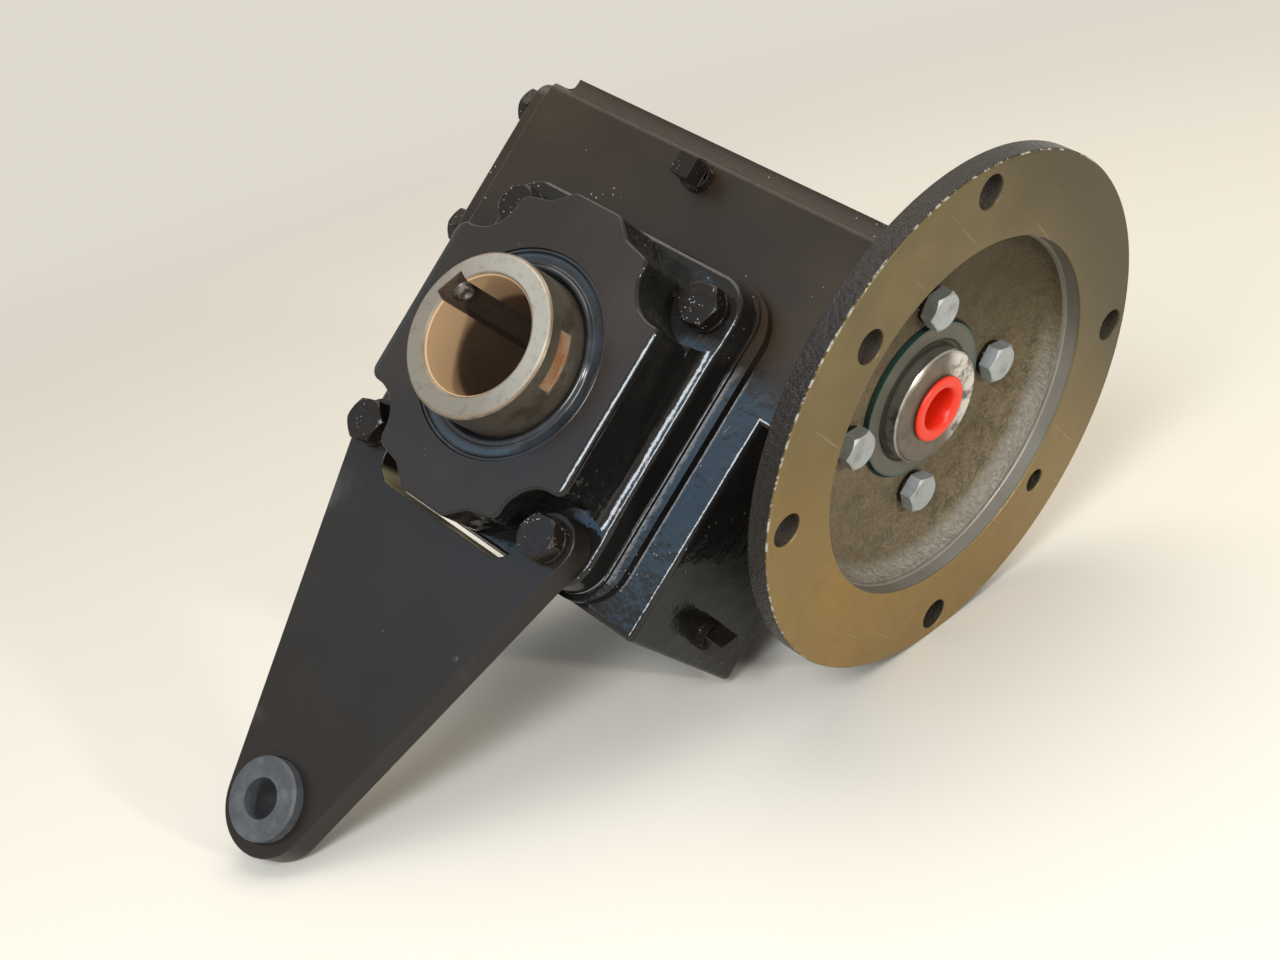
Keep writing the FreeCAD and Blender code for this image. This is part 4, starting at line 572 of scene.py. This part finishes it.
def raw_iron(f, cloud, fine, shaded, steep_lit_side):
    """The dish as cast: brown with grey grit, darker in painted shade, with a painted pale
    reflection on the lit side of its steeper wall.
    """
    grit = f.rise(f.grain(900, 4, 0.7), 0.46, 0.62)
    peaks = f.rise(f.grain(640, 3, 0.6), 0.44, 0.62)
    colour = f.blend(fine, (0.112, 0.085, 0.044), (0.052, 0.038, 0.019))
    colour = f.blend(cloud * 0.5, colour, (0.125, 0.100, 0.058))
    colour = f.blend(grit * 0.30, colour, (0.24, 0.215, 0.165))
    colour = f.blend(shaded * 0.8, colour, (0.038, 0.026, 0.009))
    return f.blend(steep_lit_side * (peaks * 0.25 + 0.45), colour, (0.34, 0.325, 0.285))


def oiled_face(f, cloud, fine, sideways, height):
    """The machined rim: olive, with a painted reflection of a brown floor towards the bottom, dark
    at the top, with a few scratches.
    """
    # Painted reflection: the face turns light brown towards its bottom, as a brown floor mirrored
    # in it; the olive is its own colour.
    low = f.beside(sideways * 0.5 - height, 0.0, -30.0, 70.0)
    high = f.beside(height + sideways * 0.2, 0.0, 22.0, 78.0)
    scratch = f.rise(f.streaks((20.0, 24.0, 900.0), 0.4), 0.705, 0.735)
    olive = f.blend(cloud, (0.155, 0.115, 0.044), (0.100, 0.075, 0.030))
    floor_tan_reflection = f.blend(fine * 0.5, (0.270, 0.162, 0.040), (0.185, 0.112, 0.033))
    colour = f.blend(low * (cloud * 0.5 + 0.4), olive, floor_tan_reflection)
    colour = f.blend(high * 0.88, colour, (0.048, 0.037, 0.017))
    return f.blend(scratch * 0.25, colour, (0.33, 0.29, 0.22))


def cast_dips(f, along, sideways, height):
    """1 in the shallow dips over and under the hub, between the dish bolts."""
    aside, out = f.size_of(sideways), f.size_of(height)
    dips = f.beside(aside, 0.0, 6.5, 0.0) * f.beside(out, DIP_PLACE, -9.0, -3.0)
    return dips * f.beside(out, DIP_PLACE, 9.0, 3.0) * f.beside(along, PILOT_FLOOR, 0.7, -0.8)


def flange_iron():
    """Machined face gone olive brown, a grey turned recess, a raw dish and an enamelled back."""
    f = Finish("flange_iron")
    along, sideways = f.along("X"), f.along("Y")
    height = f.along("Z") - WORM_HEIGHT
    radius = f.from_worm_axis()
    face = f.beside(along, MOTOR_FACE, -0.7, -0.2)
    off_face = 1 - face
    recess = f.beside(along, PILOT_FLOOR, -0.8, -0.1) * f.beside(radius, PILOT_RADIUS, 0.8, 0.3)
    recess = recess * off_face
    # Painted shade: the walls of the bolt holes are darkened.
    hole_shade = f.beside(radius, PILOT_RADIUS, 1.3, 1.8) * f.beside(radius, FLANGE_RADIUS, -1.0, -1.5)
    outside = f.beside(radius, FLANGE_RADIUS, -2.0, -1.0) * off_face
    behind = f.beside(along, DISH_FLOOR, -0.7, -1.3)
    cone_back = f.beside(radius - along * CONE_LEAN, CONE_START, -1.0, 1.0)
    cone_back = cone_back * f.beside(along, RIM_BACK, 1.3, 0.7)
    painted = outside.most(behind).most(cone_back) * off_face
    # Painted shade: a near-black ring in the gap round the input seal.
    seal_gap_shade = f.beside(radius, INPUT_SEAL_RADIUS, 1.2, 0.8) * f.beside(along, DISH_FLOOR, 1.1, 0.5)
    chipped = f.beside(radius, FLANGE_RADIUS, -0.5, -0.2) * f.beside(along, MOTOR_FACE, -0.8, -0.4)
    chipped = chipped * f.beside(sideways, 0.0, 20.0, -20.0)
    chipped = chipped * f.rise(f.grain(330, 4, 0.7), 0.52, 0.56)
    cloud = f.rise(f.grain(16, 5, 0.6), 0.35, 0.70)
    fine = f.rise(f.grain(160, 5, 0.7), 0.40, 0.70)
    # Painted shade darkens the dish's upper side; a painted pale reflection lightens its steep wall
    # on one side.
    shaded = f.beside(height - sideways * 0.6, 0.0, -5.0, 45.0)
    steep_lit_side = f.beside(radius, PILOT_RADIUS, -5.7, -2.0)
    steep_lit_side = steep_lit_side * f.beside(sideways * 0.9 - height * 0.45, 0.0, 5.0, 40.0)
    grey = f.blend(cloud, (0.27, 0.255, 0.22), (0.15, 0.135, 0.10))
    grey = f.blend(shaded * 0.6, grey, (0.075, 0.068, 0.052))
    raw = raw_iron(f, cloud, fine, shaded, steep_lit_side)
    colour = f.blend(face, raw, oiled_face(f, cloud, fine, sideways, height))
    colour = f.blend(recess, colour, grey)
    colour = f.blend(painted, colour, (0.0095, 0.0068, 0.0050))
    colour = f.blend(hole_shade * off_face, colour, (0.030, 0.022, 0.014))
    colour = f.blend(seal_gap_shade, colour, (0.006, 0.006, 0.006))
    colour = f.blend(chipped, colour, (0.42, 0.40, 0.36))
    sand = f.grain(560, 4, 0.65) * off_face * (1 - recess) * (steep_lit_side + 0.7)
    cast = f.relief(sand, 0.0012, 1.0)
    cast = f.relief(cast_dips(f, along, sideways, height), -0.0022, 0.6, cast)
    rings = f.node("ShaderNodeMath", {"operation": "SINE"}, {0: radius * LATHE_LINES})
    normal = f.relief(rings * face, 0.00002, 0.4, cast)
    roughness = 0.58 - face * 0.20 - recess * 0.22 - painted * 0.35
    metallic = face * 0.30 + recess * 0.40
    return f.finish(colour, roughness, normal, metallic=metallic, specular=0.3)


def floor_finish():
    """Plain pale floor, seen from above only, that runs out into the backdrop's colour."""
    f = Finish("floor_finish")
    shade = tuple(0.985 * c for c in FLOOR_COLOUR)
    f.finish(f.blend(f.grain(3, 3), FLOOR_COLOUR, shade), 0.75, specular=0.15)
    ends = {0: f.place, 1: tuple(MIDDLE)}
    reach = f.node("ShaderNodeVectorMath", {"operation": "DISTANCE"}, ends, "Value")
    far = f.rise(reach, FLOOR_FADES_FROM, FLOOR_GONE_BY)
    glow = f.node("ShaderNodeEmission", {}, {"Color": BACKDROP})
    pale = Reading(f, f.shader.outputs[0])
    run_out = f.node("ShaderNodeMixShader", {}, {0: far, 1: pale, 2: glow})
    clear = f.node("ShaderNodeBsdfTransparent", {}, {})
    from_below = f.node("ShaderNodeNewGeometry", {}, {}, "Backfacing")
    seen = f.node("ShaderNodeMixShader", {}, {0: from_below, 1: run_out, 2: clear})
    f.feed(f.tree.nodes["Material Output"].inputs["Surface"], seen)
    return f.material


def mesh_object(name, bm, material):
    mesh = bpy.data.meshes.new(name)
    bm.to_mesh(mesh)
    bm.free()
    mesh.materials.append(material)
    made = bpy.data.objects.new(name, mesh)
    bpy.context.scene.collection.objects.link(made)
    return made


def softened(node, body, material, width):
    """The node's own shape, with its sharp edges rounded as the real piece's are."""
    bm = bmesh.new()
    bm.from_mesh(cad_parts[node].data)
    bmesh.ops.remove_doubles(bm, verts=bm.verts, dist=SAME_PLACE)
    bmesh.ops.dissolve_limit(bm, angle_limit=LEVEL_ANGLE, verts=bm.verts, edges=bm.edges)
    for edge in bm.edges:
        edge.smooth = edge.calc_face_angle(0.0) < EDGE_ANGLE
    for face in bm.faces:
        face.smooth = True
        face.material_index = 0
    piece = mesh_object(node + "_dressed", bm, material)
    rounding = piece.modifiers.new("edge rounding", "BEVEL")
    rounding.width = width
    rounding.segments = 2
    rounding.limit_method = "ANGLE"
    rounding.angle_limit = EDGE_ANGLE
    rounding.use_clamp_overlap = True
    flats = piece.modifiers.new("flats stay flat", "WEIGHTED_NORMAL")
    flats.mode = "FACE_AREA"
    flats.weight = 80
    flats.keep_sharp = True
    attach(piece, body)
    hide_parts(node)


def spun(name, section, along, centre, body, material, steps=RING_STEPS):
    """A turned or moulded ring: its section spun round the line through centre."""
    aside = along.orthogonal().normalized()
    bm = bmesh.new()
    corners = [
        bm.verts.new(centre + aside * (out * MM) + along * (place * MM)) for out, place in section
    ]
    sides = [bm.edges.new((corners[i - 1], corners[i])) for i in range(1, len(corners))]
    if section[0][0] > 0:
        sides.append(bm.edges.new((corners[-1], corners[0])))
    bmesh.ops.spin(
        bm,
        geom=corners + sides,
        cent=centre,
        axis=along,
        dvec=(0, 0, 0),
        angle=math.tau,
        steps=steps,
        use_merge=True,
        use_duplicate=False,
    )
    bmesh.ops.remove_doubles(bm, verts=bm.verts, dist=SAME_PLACE / 2)
    bmesh.ops.recalc_face_normals(bm, faces=bm.faces)
    for face in bm.faces:
        face.smooth = True
    piece = mesh_object(name, bm, material)
    rounding = piece.modifiers.new("rounding", "SUBSURF")
    rounding.levels = 1
    rounding.render_levels = 1
    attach(piece, body)
    return piece


def add_seals(material):
    for sign, name in ((-1, "front"), (1, "rear")):
        along = Vector((0, sign, 0))
        seal = spun(name + "_seal_moulding", SEAL_SECTION, along, Vector(), CASE, material)
        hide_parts(name + "_output_seal")


def add_plug(material):
    worm_axis = Vector((0, 0, WORM_HEIGHT))
    plug = spun("plug_moulding", PLUG_SECTION, Vector((1, 0, 0)), worm_axis, WORM, material)
    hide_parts("bore_plug")


def add_screws(material):
    """A set screw over the key at each end of the shaft."""
    outward = Vector((math.cos(KEYWAY_ANGLE), 0, math.sin(KEYWAY_ANGLE)))
    for sign, name in ((-1, "front"), (1, "rear")):
        centre = Vector((0, SET_SCREW_PLACE * sign, 0))
        place = (SCREW_SECTION, outward, centre, OUTPUT, material, SCREW_STEPS)
        spun(name + "_set_screw", *place)
    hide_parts("bore_set_screws")


def paint_nodes():
    """Give every node its finish, and return the finishes by node."""
    steel = bright_steel("bearing_steel", (0.62, 0.62, 0.61), 0.14)
    cage = bright_steel("cage_steel", (0.40, 0.38, 0.34), 0.28)
    sleeve = bright_steel("sleeve_steel", (0.48, 0.47, 0.45), 0.22)
    finishes = {
        "housing": case_enamel(),
        "front_output_cover": cover_enamel(),
        "torque_arm": arm_enamel(),
        "cover_bolts": bolt_enamel(),
        "motor_flange_bolts": dish_bolt_steel(),
        "front_cover_gasket": gasket_card(),
        "front_output_seal": seal_rubber(),
        "input_seal": input_rubber(),
        "output_shaft": shaft_steel(),
        "bore_set_screws": screw_steel(),
        "worm_shaft": worm_steel(),
        "worm_gear": gear_bronze(),
        "bore_plug": red_plug(),
        "motor_flange": flange_iron(),
        "arm_bush": bush_rubber(),
    }
    same = {
        "housing": ["worm_end_cover", "worm_end_cover_gasket"],
        "front_output_cover": ["rear_output_cover"],
        "cover_bolts": ["torque_arm_bolts", "end_cover_bolts", "pipe_plugs", "lock_washers"],
        "front_cover_gasket": ["rear_cover_gasket", "motor_flange_gasket"],
        "front_output_seal": ["rear_output_seal"],
    }
    for leader, others in same.items():
        for other in others:
            finishes[other] = finishes[leader]
    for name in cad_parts:
        if name in finishes:
            continue
        if "cage" in name:
            finishes[name] = cage
        elif "sleeve" in name or "key" in name:
            finishes[name] = sleeve
        else:
            finishes[name] = steel
    for name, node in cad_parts.items():
        for slot in node.material_slots:
            slot.material = finishes[name]
    return finishes


set_camera()
set_world()
set_floor()
for lamp in LAMPS:
    set_lamp(*lamp)
bpy.context.scene.view_settings.view_transform = "Standard"
finishes = paint_nodes()
add_seals(finishes["front_output_seal"])
add_plug(finishes["bore_plug"])
add_screws(finishes["bore_set_screws"])
for node, body, width in ROUNDED:
    softened(node, body, finishes[node], width)
